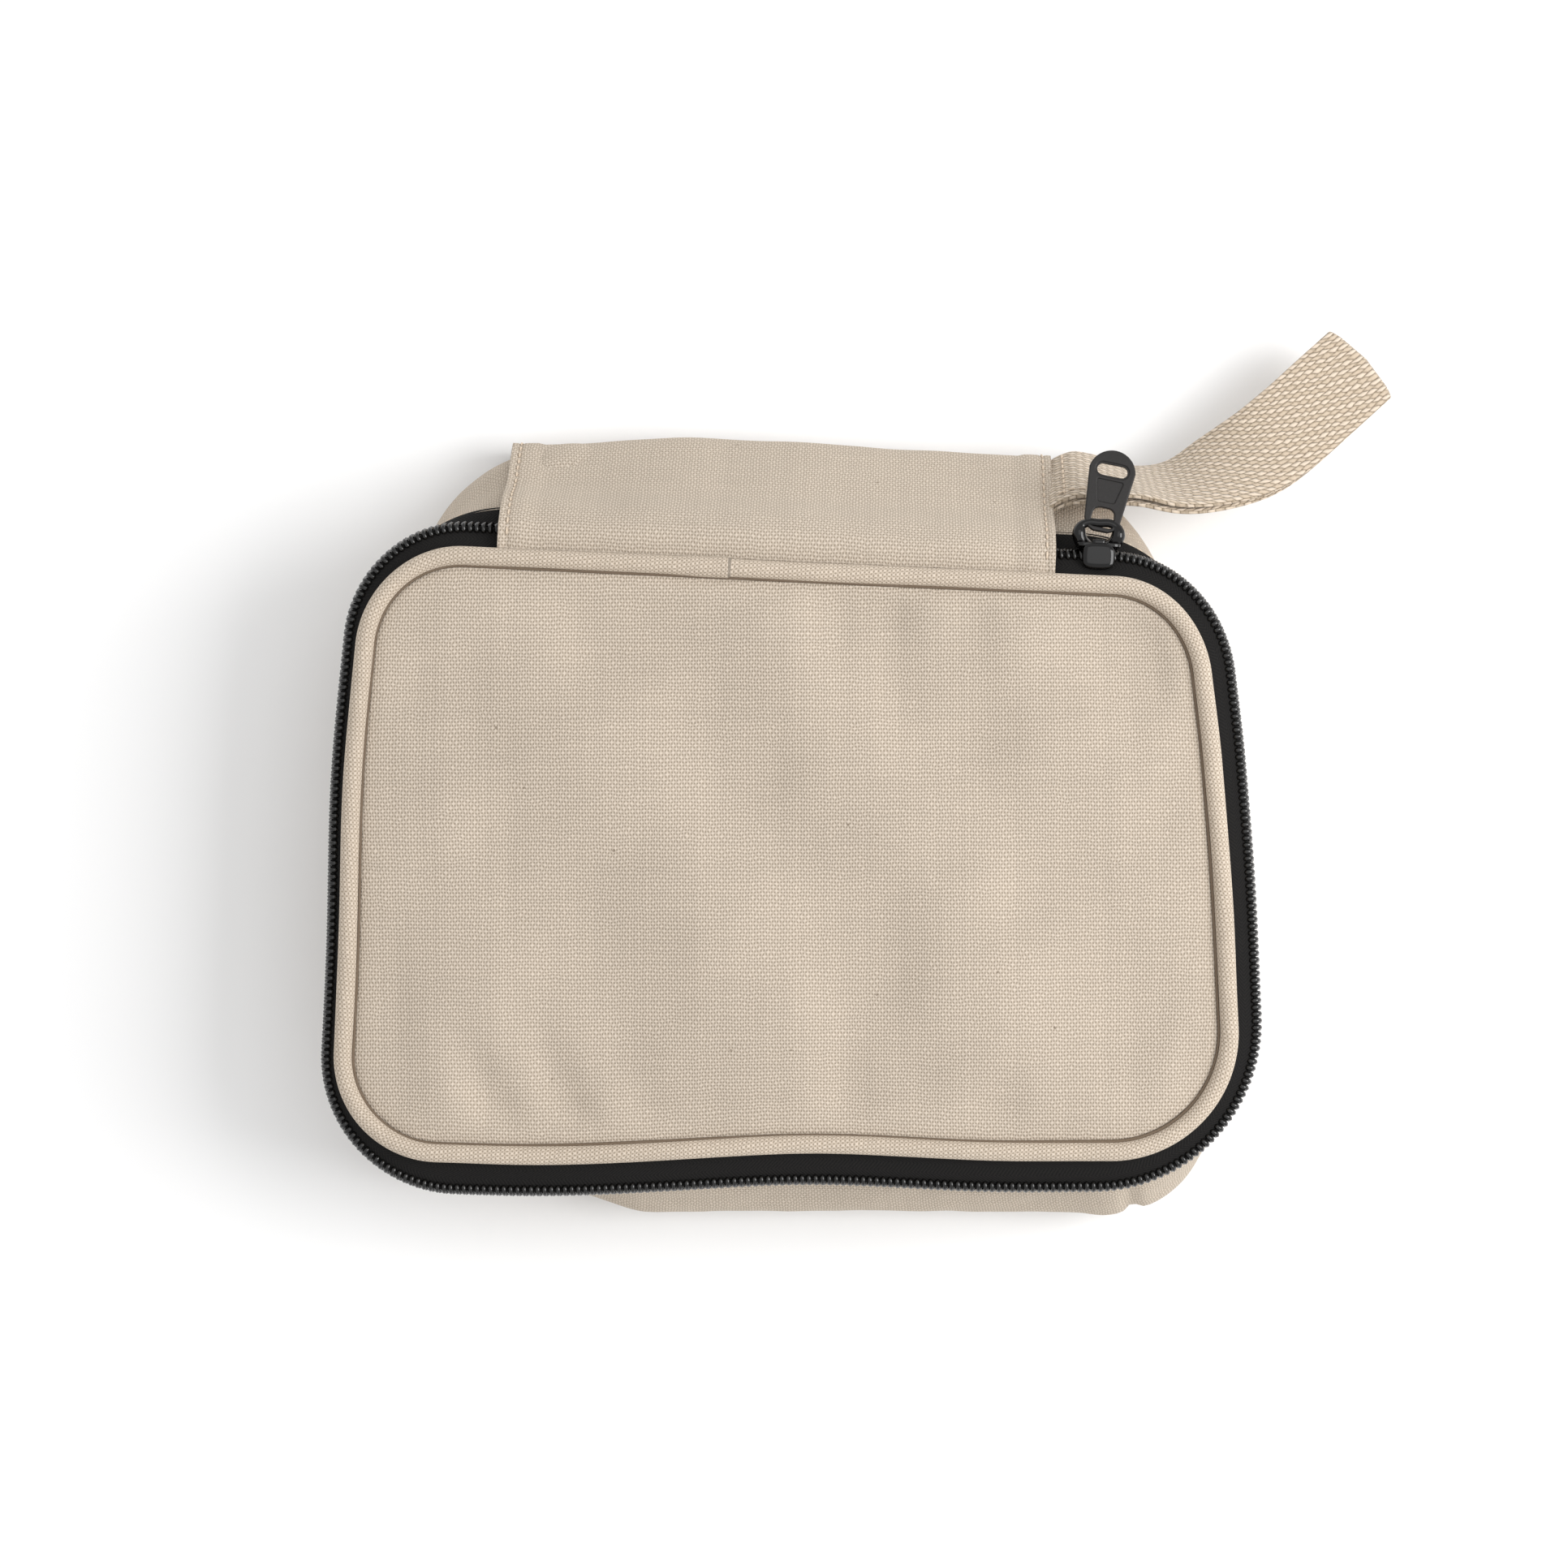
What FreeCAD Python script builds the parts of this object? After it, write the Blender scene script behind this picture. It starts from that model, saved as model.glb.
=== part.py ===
import FreeCAD, Part
import math
import os

# Zip-around canvas travel case for pills, lying on its base with the zip closed.
# Millimetres. +Z is up, +X runs along the spine and +Y points to the spine.
# The origin is on the resting face, under the middle of the cover.
# "Inset" is a distance inwards, square to the edge, from the outline of the zip.
# Four insets are for the front, right, spine and left sides, and four corner radii
# for the front left, front right, rear right and rear left corners.
# Near the spine a second frame is used: u along the spine edge of that outline,
# v square to it and outwards.

Vec = FreeCAD.Vector

# ---- driving dimensions ----
front_half_width = 103.3
width_taper = 8.7
front_depth = 72.0
rear_depth = 69.0
rear_skew = 8.6
zip_corner = (29.0, 36.0, 28.0, 26.0)

# bottom panel, foam and lining
canvas_thick = 1.0
bottom_foam = 2.0
lining_thick = 0.5
layer_gap = 0.1

# heights of the side wall, from its bottom seam up to the zip tape
wall_bottom = 3.3
wall_bulge = 11.0
wall_shoulder = 22.0
wall_top = 31.0
wall_thick = 1.2

# insets and corner radii of the wall at those heights
bottom_insets = (-1.0, 14.5, -16.0, 14.5)
bulge_insets = (-6.5, 12.5, -20.0, 12.5)
shoulder_insets = (-2.5, 8.5, -11.0, 8.5)
top_insets = (4.0, 5.0, -3.4, 5.0)
bottom_corners = (16.0, 16.0, 26.0, 26.0)
bulge_corners = (18.0, 18.0, 36.0, 36.0)
shoulder_corners = (22.0, 22.0, 36.0, 36.0)
top_corners = (23.0, 23.0, 30.0, 30.0)

# piping
piping_radius = 2.0
piping_cord_radius = 1.2
base_piping_radius = 1.5
base_piping_cord_radius = 0.9

# zip
coil_radius = 1.4
coil_inset = 1.6
coil_gap = 1.1
coil_bite = 0.2
tape_thick = 0.7
lower_tape_show = 2.1
lower_tape_lap = 0.8
upper_tape_show = (6.5, 5.1, 4.9, 2.6)
upper_tape_band = 2.0
upper_tape_lap = 0.9
upper_tape_rise = 1.9
upper_tape_tuck = 0.3

# cover
cover_corners = (20.0, 25.0, 20.0, 20.0)
cover_panel_thick = 1.2
cover_foam = 2.0
cover_lining_thick = 0.6
cover_panel_gap = 0.1
pocket_thick = 0.4
pocket_mouth_from_hinge = 58.0
pocket_binding_width = 9.0
pocket_binding_thick = 1.0

# spine band: what it leaves bare before the corners, and how it stands off the case
band_left_bare = 6.1
band_right_bare = 10.1
band_thick = 1.1
band_tuck = 10.0
band_seam_gap = 0.7
band_lift = 1.6
band_stand = 2.67
band_coil_gap = 1.8

# slider and pull
slider_from_band = 4.5
slider_length = 9.5
slider_travel = 4.0
slider_clear = 0.6
plate_thick = 1.1
plate_coil_gap = 0.45
inner_plate_gap = 0.9
slider_below = 0.8
slider_above = 2.6
slider_post = 3.0
crown_reach = 4.2
crown_radius = 1.0
crown_span = 8.4
eye_clear = 0.25
eye_wall = 0.9
eye_length = 3.2
eye_shoulder = 1.4
pull_thick = 1.3
pull_reach = 16.0
pull_width_tip = 10.2
pull_width_root = 7.6
pull_lean = -9.5
pull_droop = 6.0
slot_length = 6.6
slot_width = 2.5
slot_from_axis = 11.8

# webbing of the wrist loop, which is sewn on beside the band. Each station is its
# distance past the band's end, its stand-off from the wall's shoulder, its height over
# the widest part of the wall, its heading and its tilt
webbing_width = 20.0
webbing_stack = 3.0
webbing_slit = 0.5
stub_stations = (
    (0.1, 5.5, 10.4, 0.0, 56.0),
    (8.8, 5.3, 10.2, 0.6, 58.0),
    (18.2, 4.4, 9.7, 2.6, 66.0),
)
loop_stations = (
    (19.2, 4.4, 9.6, 4.6, 66.0),
    (25.9, 4.4, 8.8, 10.6, 58.0),
    (36.3, 8.2, 7.8, 26.6, 36.0),
    (45.7, 13.6, 6.8, 35.6, 14.0),
    (52.2, 19.2, 5.8, 43.6, 4.0),
    (58.9, 25.8, 4.8, 45.6, 0.0),
    (66.8, 33.6, 3.8, 45.6, 0.0),
)

# pill boxes, and the room round the row of them
day_count = 7
box_gap = 0.8
box_side_room = 1.2
box_shift = -1.2
box_front_room = 17.2
box_rear_room = 16.9
box_height = 12.5
box_wall = 1.1
box_floor = 1.2
box_end = 3.0
web_half = 4.5
knuckle_end = 1.8
knuckle_web = 3.4
barrel_radius = 1.2
barrel_inset = 1.5
rod_radius = 0.6
rod_clear = 0.06
side_gap = 0.3
lid_thick = 1.2
lid_seat_gap = 0.2
plug_depth = 1.5
plug_wall = 0.8
plug_clear = 0.35
thumb_width = 7.0
thumb_reach = 1.6

# elastic strap over the boxes
strap_width = 6.2
strap_thick = 0.8
strap_clear = 0.3

# ---- sizes that follow from the ones above ----
rear_half_width = front_half_width - width_taper
left_rear = rear_depth + rear_skew / 2
right_rear = rear_depth - rear_skew / 2
zip_corners = (
    (-front_half_width, -front_depth),
    (front_half_width, -front_depth),
    (rear_half_width, right_rear),
    (-rear_half_width, left_rear),
)
coil_edge = coil_inset + coil_radius
lower_coil_z = wall_top + lower_tape_show + coil_radius
upper_coil_z = lower_coil_z + 2 * coil_radius + coil_gap
upper_tape_z = upper_coil_z + upper_tape_lap
cover_insets = tuple(coil_edge + show for show in upper_tape_show)
cover_piping_z = upper_tape_z + upper_tape_rise + layer_gap + piping_radius
band_left = zip_corner[3] + band_left_bare - rear_half_width
band_right = rear_half_width - zip_corner[2] - band_right_bare
slider_start = band_right + slider_from_band
slider_low = lower_coil_z - slider_below
slider_high = upper_coil_z + slider_above

def off_wall(share):
    """A point that stands off the upper wall at the spine, a share of the way up it."""
    rise = wall_top - wall_shoulder
    run = shoulder_insets[2] - top_insets[2]
    length = math.hypot(rise, run)
    v = run * share - shoulder_insets[2] + band_stand * rise / length
    return (v, wall_shoulder + rise * share - band_stand * run / length)


# the band's outer line, from the cover's seam down to the bottom, as v and z
seam_v = band_seam_gap + piping_radius - cover_insets[2]
band_profile = (
    (seam_v, cover_piping_z - 0.7),
    (seam_v + 3.8, upper_coil_z + coil_radius + band_coil_gap),
    (coil_radius - coil_inset + 2.0, upper_coil_z + 0.2),
    off_wall(0.664),
    (5.0 - shoulder_insets[2], wall_shoulder - 2.4),
    (band_lift - bulge_insets[2], wall_bulge),
    (band_lift + 3.0 - bottom_insets[2], wall_bottom + 1.1),
    (1.0 - bottom_insets[2], 0.4),
)



def inset_corners(insets):
    """The four corners after each side moves inwards by its own inset."""
    lines = []
    for index in range(4):
        ax, ay = zip_corners[index]
        bx, by = zip_corners[(index + 1) % 4]
        length = math.hypot(bx - ax, by - ay)
        dx = (bx - ax) / length
        dy = (by - ay) / length
        move = insets[index]
        lines.append((ax - dy * move, ay + dx * move, dx, dy))
    corners = []
    for index in range(4):
        px, py, pdx, pdy = lines[index - 1]
        qx, qy, qdx, qdy = lines[index]
        cross = pdx * qdy - pdy * qdx
        along = ((qx - px) * qdy - (qy - py) * qdx) / cross
        corners.append((px + pdx * along, py + pdy * along))
    return corners


def rounded_wire(corners, radii, z):
    """A closed wire of four straight sides joined by tangent arcs."""
    starts = []
    middles = []
    ends = []
    for index in range(4):
        cx, cy = corners[index]
        ax, ay = corners[index - 1]
        bx, by = corners[(index + 1) % 4]
        to_a = Vec(ax - cx, ay - cy, 0).normalize()
        to_b = Vec(bx - cx, by - cy, 0).normalize()
        half = to_a.getAngle(to_b) / 2
        radius = radii[index]
        corner = Vec(cx, cy, z)
        bisector = (to_a + to_b).normalize()
        starts.append(corner + to_a * (radius / math.tan(half)))
        ends.append(corner + to_b * (radius / math.tan(half)))
        middles.append(corner + bisector * (radius / math.sin(half) - radius))
    edges = []
    for index in range(4):
        edges.append(Part.Arc(starts[index], middles[index], ends[index]).toShape())
        edges.append(Part.LineSegment(ends[index], starts[(index + 1) % 4]).toShape())
    return Part.Wire(edges)


def level(insets, radii, z, extra=0.0):
    """An outline with its own inset on each side, moved inwards by extra."""
    moved = [inset + extra for inset in insets]
    shrunk = [radius - extra for radius in radii]
    return rounded_wire(inset_corners(moved), shrunk, z)


def outline(inset, z):
    """The zip outline moved inwards all round, at height z."""
    return level((0.0,) * 4, zip_corner, z, inset)


def cover_line(extra, z):
    """The middle line of the cover's piping, moved inwards by extra."""
    return level(cover_insets, cover_corners, z, extra)


def plate(extra, low, high):
    """A flat plate with the cover's shape."""
    return Part.Face(cover_line(extra, low)).extrude(Vec(0, 0, high - low))


def ring_rod(wire, radius):
    """A closed round rod along a wire."""
    start = wire.Edges[1].valueAt(wire.Edges[1].FirstParameter)
    along = wire.Edges[1].tangentAt(wire.Edges[1].FirstParameter)
    circle = Part.Wire(Part.makeCircle(radius, start, along))
    return wire.makePipeShell([circle], True, True)


# ---- the spine's own frame ----
spine_angle = math.degrees(math.atan2(-rear_skew, 2 * rear_half_width))
spine_middle = Vec(0, rear_depth, 0)


def at_spine(shape):
    """Moves a shape drawn in u, v, z into the case's frame."""
    placed = shape.copy()
    placed.rotate(Vec(0, 0, 0), Vec(0, 0, 1), spine_angle)
    placed.translate(spine_middle)
    return placed


def block(x0, x1, y0, y1, z0, z1):
    return Part.makeBox(x1 - x0, y1 - y0, z1 - z0, Vec(x0, y0, z0))


def save(node, shape):
    """Writes one piece, or a group of alike pieces, to its own file."""
    if isinstance(shape, list):
        shape = Part.makeCompound(shape)
    shape.exportStep(os.path.join("parts", node + ".step"))


# ---- base ----
base_piping_insets = tuple(inset + base_piping_radius for inset in bottom_insets)
base_piping_radii = tuple(radius - base_piping_radius for radius in bottom_corners)
base_piping_z = base_piping_radius + layer_gap

wall_levels = (
    (bottom_insets, bottom_corners, wall_bottom),
    (bulge_insets, bulge_corners, wall_bulge),
    (shoulder_insets, shoulder_corners, wall_shoulder),
    (top_insets, top_corners, wall_top),
)


def wall_solid(extra, bottom, top):
    """The filled shape of the side wall, thinned by extra, with its own end heights."""
    wires = []
    for index, (insets, radii, z) in enumerate(wall_levels):
        if index == 0:
            wires.append(level(insets, radii, bottom, extra))
        elif index == len(wall_levels) - 1:
            wires.append(level(insets, radii, z, extra))
            if top > z:
                wires.append(level(insets, radii, top, extra))
        else:
            wires.append(level(insets, radii, z, extra))
    return Part.makeLoft(wires, True, True)


def panel_at(insets, radii, shrink, low, high):
    face = Part.Face(level(insets, radii, low, shrink))
    return face.extrude(Vec(0, 0, high - low))


def spine_gap(shrink=0.0):
    """The space between the two ends that the spine band covers."""
    return at_spine(
        block(
            band_left + band_tuck + shrink,
            band_right - band_tuck - shrink,
            -16.0,
            40.0,
            -5.0,
            60.0,
        )
    )


def make_base():
    foam_low = canvas_thick + layer_gap
    foam_high = foam_low + bottom_foam
    panel_edge = base_piping_radius + layer_gap
    save(
        "base_panel",
        panel_at(base_piping_insets, base_piping_radii, panel_edge, 0, canvas_thick),
    )
    save(
        "base_foam",
        panel_at(
            base_piping_insets,
            base_piping_radii,
            panel_edge,
            foam_low,
            foam_high,
        ),
    )
    wire = level(base_piping_insets, base_piping_radii, base_piping_z)
    cord = ring_rod(wire, base_piping_cord_radius)
    save("base_piping", ring_rod(wire, base_piping_radius).cut(cord))
    save("base_piping_cord", cord)

    outer = wall_solid(0.0, wall_bottom, wall_top)
    inner = wall_solid(wall_thick, 0.0, wall_top + 1.0)
    save("side_wall", outer.cut(inner).cut(spine_gap()))

    floor_low = foam_high + layer_gap
    lining_out = wall_thick + layer_gap
    tub = wall_solid(lining_out, floor_low, wall_top)
    hollow = wall_solid(lining_out + lining_thick, floor_low + lining_thick, wall_top + 1.0)
    save("base_lining", tub.cut(hollow))
    return floor_low + lining_thick


# ---- spine band ----
def band_wire():
    """The band's outer line, as one smooth curve from the cover's seam to the bottom."""
    curve = Part.BSplineCurve()
    curve.interpolate([Vec(0, v, z) for v, z in band_profile])
    return curve


def make_band():
    """The band is its smooth outer line, made as thick as the canvas on the inside."""
    curve = band_wire()
    steps = 24
    first = curve.FirstParameter
    span = curve.LastParameter - first
    outer = []
    inner = []
    for index in range(steps + 1):
        place = first + span * index / steps
        point = curve.value(place)
        along = curve.tangent(place)[0]
        inward = Vec(0, along.z, -along.y)
        outer.append(point)
        inner.append(point + inward * band_thick)
    loop = outer + inner[::-1]
    wire = Part.makePolygon(loop + [loop[0]])
    solid = Part.Face(wire).extrude(Vec(band_right - band_left, 0, 0))
    solid.translate(Vec(band_left, 0, 0))
    save("spine_band", at_spine(solid))


# ---- zip ----
def slider_zone():
    """The stretch of chain that the slider covers over its travel."""
    low = slider_start - slider_clear
    high = slider_start + slider_length + slider_travel + slider_clear
    return at_spine(block(low, high, -12.0, 6.0, upper_coil_z - 2.5, 60.0))


def make_zip():
    gap = spine_gap()
    lower_coil = ring_rod(outline(coil_inset, lower_coil_z), coil_radius).cut(gap)
    upper_coil = ring_rod(outline(coil_inset, upper_coil_z), coil_radius).cut(gap)
    save("zip_coil_lower", lower_coil)
    save("zip_coil_upper", upper_coil.cut(slider_zone()))

    tape_low = wall_top + layer_gap
    tape_high = lower_coil_z - coil_radius + lower_tape_lap
    tape_inset = coil_edge - coil_bite
    outer = Part.makeLoft(
        [level(top_insets, top_corners, tape_low), outline(tape_inset, tape_high)],
        True,
        True,
    )
    inner = Part.makeLoft(
        [
            level(top_insets, top_corners, tape_low - 1.0, tape_thick),
            level(top_insets, top_corners, tape_low, tape_thick),
            outline(tape_inset + tape_thick, tape_high),
            outline(tape_inset + tape_thick, tape_high + 1.0),
        ],
        True,
        True,
    )
    lower_tape = outer.cut(inner).cut(gap)
    save("zip_tape_lower", lower_tape.cut(lower_coil))

    low = upper_tape_z
    high = low + upper_tape_rise
    first = coil_edge - coil_bite
    last = -upper_tape_tuck
    outer = Part.makeLoft([outline(first, low), cover_line(last, high)], True, True)
    inner = Part.makeLoft(
        [
            outline(first + upper_tape_band, low - 1.0),
            outline(first + upper_tape_band, low),
            cover_line(last + upper_tape_band, high),
            cover_line(last + upper_tape_band, high + 1.0),
        ],
        True,
        True,
    )
    upper_tape = outer.cut(inner).cut(gap).cut(slider_zone())
    save("zip_tape_upper", upper_tape)

    stops = []
    for end in (band_left + band_tuck + 0.2, band_right - band_tuck - 2.6):
        clip = block(
            end,
            end + 2.4,
            -coil_edge,
            coil_radius - coil_inset,
            lower_coil_z - coil_radius,
            lower_coil_z + coil_radius,
        )
        stops.append(at_spine(clip))
    save("zip_end_stops", stops)


# ---- cover ----
def make_cover():
    edge = piping_radius + cover_panel_gap
    panel_low = cover_piping_z
    foam_high = panel_low - layer_gap
    foam_low = foam_high - cover_foam
    lining_high = foam_low - layer_gap
    lining_low = lining_high - cover_lining_thick
    save("cover_panel", plate(edge, panel_low, panel_low + cover_panel_thick))
    save("cover_foam", plate(edge, foam_low, foam_high))
    save("cover_lining", plate(edge, lining_low, lining_high))

    wire = cover_line(0.0, cover_piping_z)
    cord = ring_rod(wire, piping_cord_radius)
    save("cover_piping", ring_rod(wire, piping_radius).cut(cord))
    save("cover_piping_cord", cord)

    mouth = rear_depth - pocket_mouth_from_hinge
    net = plate(edge + 1.0, lining_low - pocket_thick, lining_low)
    net = net.cut(block(-200, 200, mouth, 200, 0, 60))
    save("mesh_pocket", net)
    binding = plate(
        edge + 1.0,
        lining_low - pocket_thick - pocket_binding_thick,
        lining_low - pocket_thick,
    )
    strip = block(-200, 200, mouth - pocket_binding_width, mouth, 0, 60)
    save("pocket_binding", binding.common(strip))


# ---- slider and pull ----
outer_plate_v = coil_radius - coil_inset + plate_coil_gap
inner_plate_v = -coil_edge - inner_plate_gap
crown_v = outer_plate_v + plate_thick + crown_reach
crown_z = (slider_low + slider_high) / 2 + 1.2
crown_middle = slider_start + slider_length / 2


def make_slider():
    end = slider_start + slider_length
    outer_plate = block(
        slider_start, end, outer_plate_v, outer_plate_v + plate_thick, slider_low, slider_high
    )
    inner_plate = block(
        slider_start, end, inner_plate_v - plate_thick, inner_plate_v, slider_low, slider_high
    )
    corner = (slider_high - slider_low) / 4
    ends = [
        edge
        for edge in outer_plate.Edges
        if abs(edge.tangentAt(edge.FirstParameter).y) > 0.9
    ]
    outer_plate = outer_plate.makeFillet(corner, ends)
    post = block(
        slider_start + 0.4,
        slider_start + 0.4 + slider_post,
        inner_plate_v,
        outer_plate_v,
        lower_coil_z + coil_radius + 0.4,
        slider_high - corner,
    )
    left = crown_middle - crown_span / 2
    right = crown_middle + crown_span / 2
    root = outer_plate_v + plate_thick / 2
    bend = 1.8
    turn = bend * (1 - math.sqrt(0.5))
    marks = (
        (left, root),
        (left, crown_v - bend),
        (left + turn, crown_v - turn),
        (left + bend, crown_v),
        (right - bend, crown_v),
        (right - turn, crown_v - turn),
        (right, crown_v - bend),
        (right, root),
    )
    a, b, c, d, e, f, g, h = [Vec(u, v, crown_z) for u, v in marks]
    runs = (
        Part.LineSegment(a, b),
        Part.Arc(b, c, d),
        Part.LineSegment(d, e),
        Part.Arc(e, f, g),
        Part.LineSegment(g, h),
    )
    path = Part.Wire([run.toShape() for run in runs])
    circle = Part.Wire(Part.makeCircle(crown_radius, Vec(left, root, crown_z), Vec(0, 1, 0)))
    crown = path.makePipeShell([circle], True, True)
    body = outer_plate.fuse([inner_plate, post, crown]).removeSplitter()
    save("slider_body", at_spine(body))


def make_pull():
    """A flat tab, wider at its tip, on an eye that turns about the crown's bar."""
    root = 1.2
    tip_centre = pull_reach - pull_width_tip / 2
    slope = math.atan2((pull_width_tip - pull_width_root) / 2, tip_centre - root)
    side_x = pull_width_tip / 2 * math.cos(slope)
    side_y = tip_centre - pull_width_tip / 2 * math.sin(slope)
    points = [
        Vec(-pull_width_root / 2, root, 0),
        Vec(pull_width_root / 2, root, 0),
        Vec(side_x, side_y, 0),
        Vec(-side_x, side_y, 0),
    ]
    edges = [
        Part.LineSegment(points[0], points[1]).toShape(),
        Part.LineSegment(points[1], points[2]).toShape(),
        Part.Arc(points[2], Vec(0, pull_reach, 0), points[3]).toShape(),
        Part.LineSegment(points[3], points[0]).toShape(),
    ]
    tab = Part.Face(Part.Wire(edges)).extrude(Vec(0, 0, pull_thick))
    half = (slot_length - slot_width) / 2
    slot = Part.makeCylinder(slot_width / 2, 5, Vec(-half, slot_from_axis, -1))
    slot = slot.fuse(Part.makeCylinder(slot_width / 2, 5, Vec(half, slot_from_axis, -1)))
    slot = slot.fuse(
        block(
            -half,
            half,
            slot_from_axis - slot_width / 2,
            slot_from_axis + slot_width / 2,
            -1,
            4,
        )
    )
    tab = tab.cut(slot)
    tab.translate(Vec(0, 0, -pull_thick / 2))
    window = crown_radius + eye_clear + 0.2
    tab = tab.cut(block(-6, 6, -3, window, -3, 3))
    tab.rotate(Vec(0, 0, 0), Vec(0, 0, 1), pull_lean)
    eye_radius = crown_radius + eye_clear + eye_wall
    eye = Part.makeCylinder(eye_radius, eye_length, Vec(-eye_length / 2, 0, 0), Vec(1, 0, 0))
    bore = Part.makeCylinder(
        crown_radius + eye_clear, 40, Vec(-20, 0, 0), Vec(1, 0, 0)
    )
    side = crown_span / 2 - crown_radius - 0.4
    shoulder = crown_radius + eye_shoulder
    room = block(side, 20, -5, shoulder, -5, 5)
    room = room.fuse(block(-20, -side, -5, shoulder, -5, 5))
    pull = tab.fuse(eye).cut(bore).cut(room).removeSplitter()
    pull.rotate(Vec(0, 0, 0), Vec(1, 0, 0), -pull_droop)
    pull.translate(Vec(crown_middle, crown_v, crown_z))
    save("pull_tab", at_spine(pull))


# ---- wrist loop ----
def station_wire(station, width, thick):
    """A rectangle across the webbing: width along its tilted width, thick square to it."""
    past_band, stand_off, over_bulge, heading, tilt = station
    h = math.radians(heading)
    t = math.radians(tilt)
    across = Vec(-math.sin(h) * math.cos(t), math.cos(h) * math.cos(t), -math.sin(t))
    face = Vec(-math.sin(h) * math.sin(t), math.cos(h) * math.sin(t), math.cos(t))
    centre = Vec(
        band_right + past_band, stand_off - shoulder_insets[2], wall_bulge + over_bulge
    )
    corners = [
        centre - across * (width / 2) - face * (thick / 2),
        centre + across * (width / 2) - face * (thick / 2),
        centre + across * (width / 2) + face * (thick / 2),
        centre - across * (width / 2) + face * (thick / 2),
    ]
    return Part.makePolygon(corners + [corners[0]])


def webbing(stations, width, thick):
    """A strap through its stations, drawn in the spine's frame."""
    wires = [station_wire(s, width, thick) for s in stations]
    return at_spine(Part.makeLoft(wires, True, True))


def make_loop():
    save("wrist_loop_stub", webbing(stub_stations, webbing_width, webbing_stack))
    strap = webbing(loop_stations, webbing_width, webbing_stack)
    slit = webbing(loop_stations[1:-1], webbing_width + 4.0, webbing_slit)
    save("wrist_loop", strap.cut(slit))


# ---- pill boxes ----
skin = wall_thick + layer_gap + lining_thick
box_front = bottom_insets[0] + skin + box_front_room - front_depth
box_back = right_rear - bottom_insets[2] - skin - box_rear_room
box_length = box_back - box_front
box_middle_y = (box_front + box_back) / 2
row_side = bottom_insets[1] + skin + box_side_room
row_half = rear_half_width - row_side - abs(box_shift)
box_pitch = (2 * row_half + box_gap) / day_count
box_width = box_pitch - box_gap


def make_boxes(floor_z):
    rim_z = floor_z + box_height
    lid_low = rim_z + lid_seat_gap
    lid_top = lid_low + lid_thick
    axis_z = lid_top - barrel_radius
    front = box_front
    back = box_back
    cells = (
        (front + box_end, box_middle_y - web_half),
        (box_middle_y + web_half, back - box_end),
    )
    lid_spans = (
        (front + knuckle_end + side_gap, box_middle_y - knuckle_web - side_gap),
        (box_middle_y + knuckle_web + side_gap, back - knuckle_end - side_gap),
    )
    knuckle_spans = (
        (front, front + knuckle_end),
        (box_middle_y - knuckle_web, box_middle_y + knuckle_web),
        (back - knuckle_end, back),
    )
    rods = []
    for day in range(day_count):
        left = box_shift + (day - day_count / 2) * box_pitch + box_gap / 2
        right = left + box_width
        axis_x = left + barrel_inset
        body = block(left, right, front, back, floor_z, rim_z)
        for low, high in cells:
            hollow = block(
                left + box_wall, right - box_wall, low, high, floor_z + box_floor, rim_z + 1
            )
            body = body.cut(hollow)
        for low, high in lid_spans:
            notch = block(
                left - 1,
                axis_x + barrel_radius + side_gap,
                low - side_gap,
                high + side_gap,
                axis_z - barrel_radius - side_gap,
                rim_z + 5,
            )
            body = body.cut(notch)
        for low, high in knuckle_spans:
            knuckle = Part.makeCylinder(
                barrel_radius, high - low, Vec(axis_x, low, axis_z), Vec(0, 1, 0)
            )
            body = body.fuse(knuckle)
        rod = Part.makeCylinder(rod_radius, box_length, Vec(axis_x, front, axis_z), Vec(0, 1, 0))
        body = body.cut(rod).removeSplitter()
        save("day_box_%d" % (day + 1), body)
        rods.append(rod)

        names = ("morning_lid_%d", "evening_lid_%d")
        for index, (low, high) in enumerate(lid_spans):
            cell_low, cell_high = cells[index]
            lid = block(axis_x, right - 0.2, low, high, lid_low, lid_top)
            barrel = Part.makeCylinder(
                barrel_radius, high - low, Vec(axis_x, low, axis_z), Vec(0, 1, 0)
            )
            plug = block(
                axis_x + barrel_radius + 0.5,
                right - box_wall - plug_clear,
                cell_low + plug_clear,
                cell_high - plug_clear,
                lid_low - plug_depth,
                lid_low,
            )
            pocket = block(
                axis_x + barrel_radius + 0.5 + plug_wall,
                right - box_wall - plug_clear - plug_wall,
                cell_low + plug_clear + plug_wall,
                cell_high - plug_clear - plug_wall,
                lid_low - plug_depth - 1,
                lid_low,
            )
            middle = (left + right) / 2
            outward = -1 if index == 0 else 1
            edge = low if index == 0 else high
            reach = sorted((edge, edge + outward * thumb_reach))
            thumb = block(
                middle - thumb_width / 2,
                middle + thumb_width / 2,
                reach[0],
                reach[1],
                lid_low,
                lid_top,
            )
            bore = Part.makeCylinder(
                rod_radius + rod_clear, box_length, Vec(axis_x, front, axis_z), Vec(0, 1, 0)
            )
            lid = lid.fuse([barrel, plug.cut(pocket), thumb]).cut(bore).removeSplitter()
            save(names[index] % (day + 1), lid)
    save("lid_hinge_rods", rods)

    low_x = box_shift - row_half - strap_clear
    high_x = box_shift + row_half + strap_clear
    top_z = lid_top + strap_clear
    y0 = box_middle_y - strap_width / 2
    y1 = box_middle_y + strap_width / 2
    strap = block(
        low_x - strap_thick, high_x + strap_thick, y0, y1, floor_z, top_z + strap_thick
    )
    strap = strap.cut(block(low_x, high_x, y0 - 1, y1 + 1, floor_z - 1, top_z))
    save("box_strap", strap)


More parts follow.
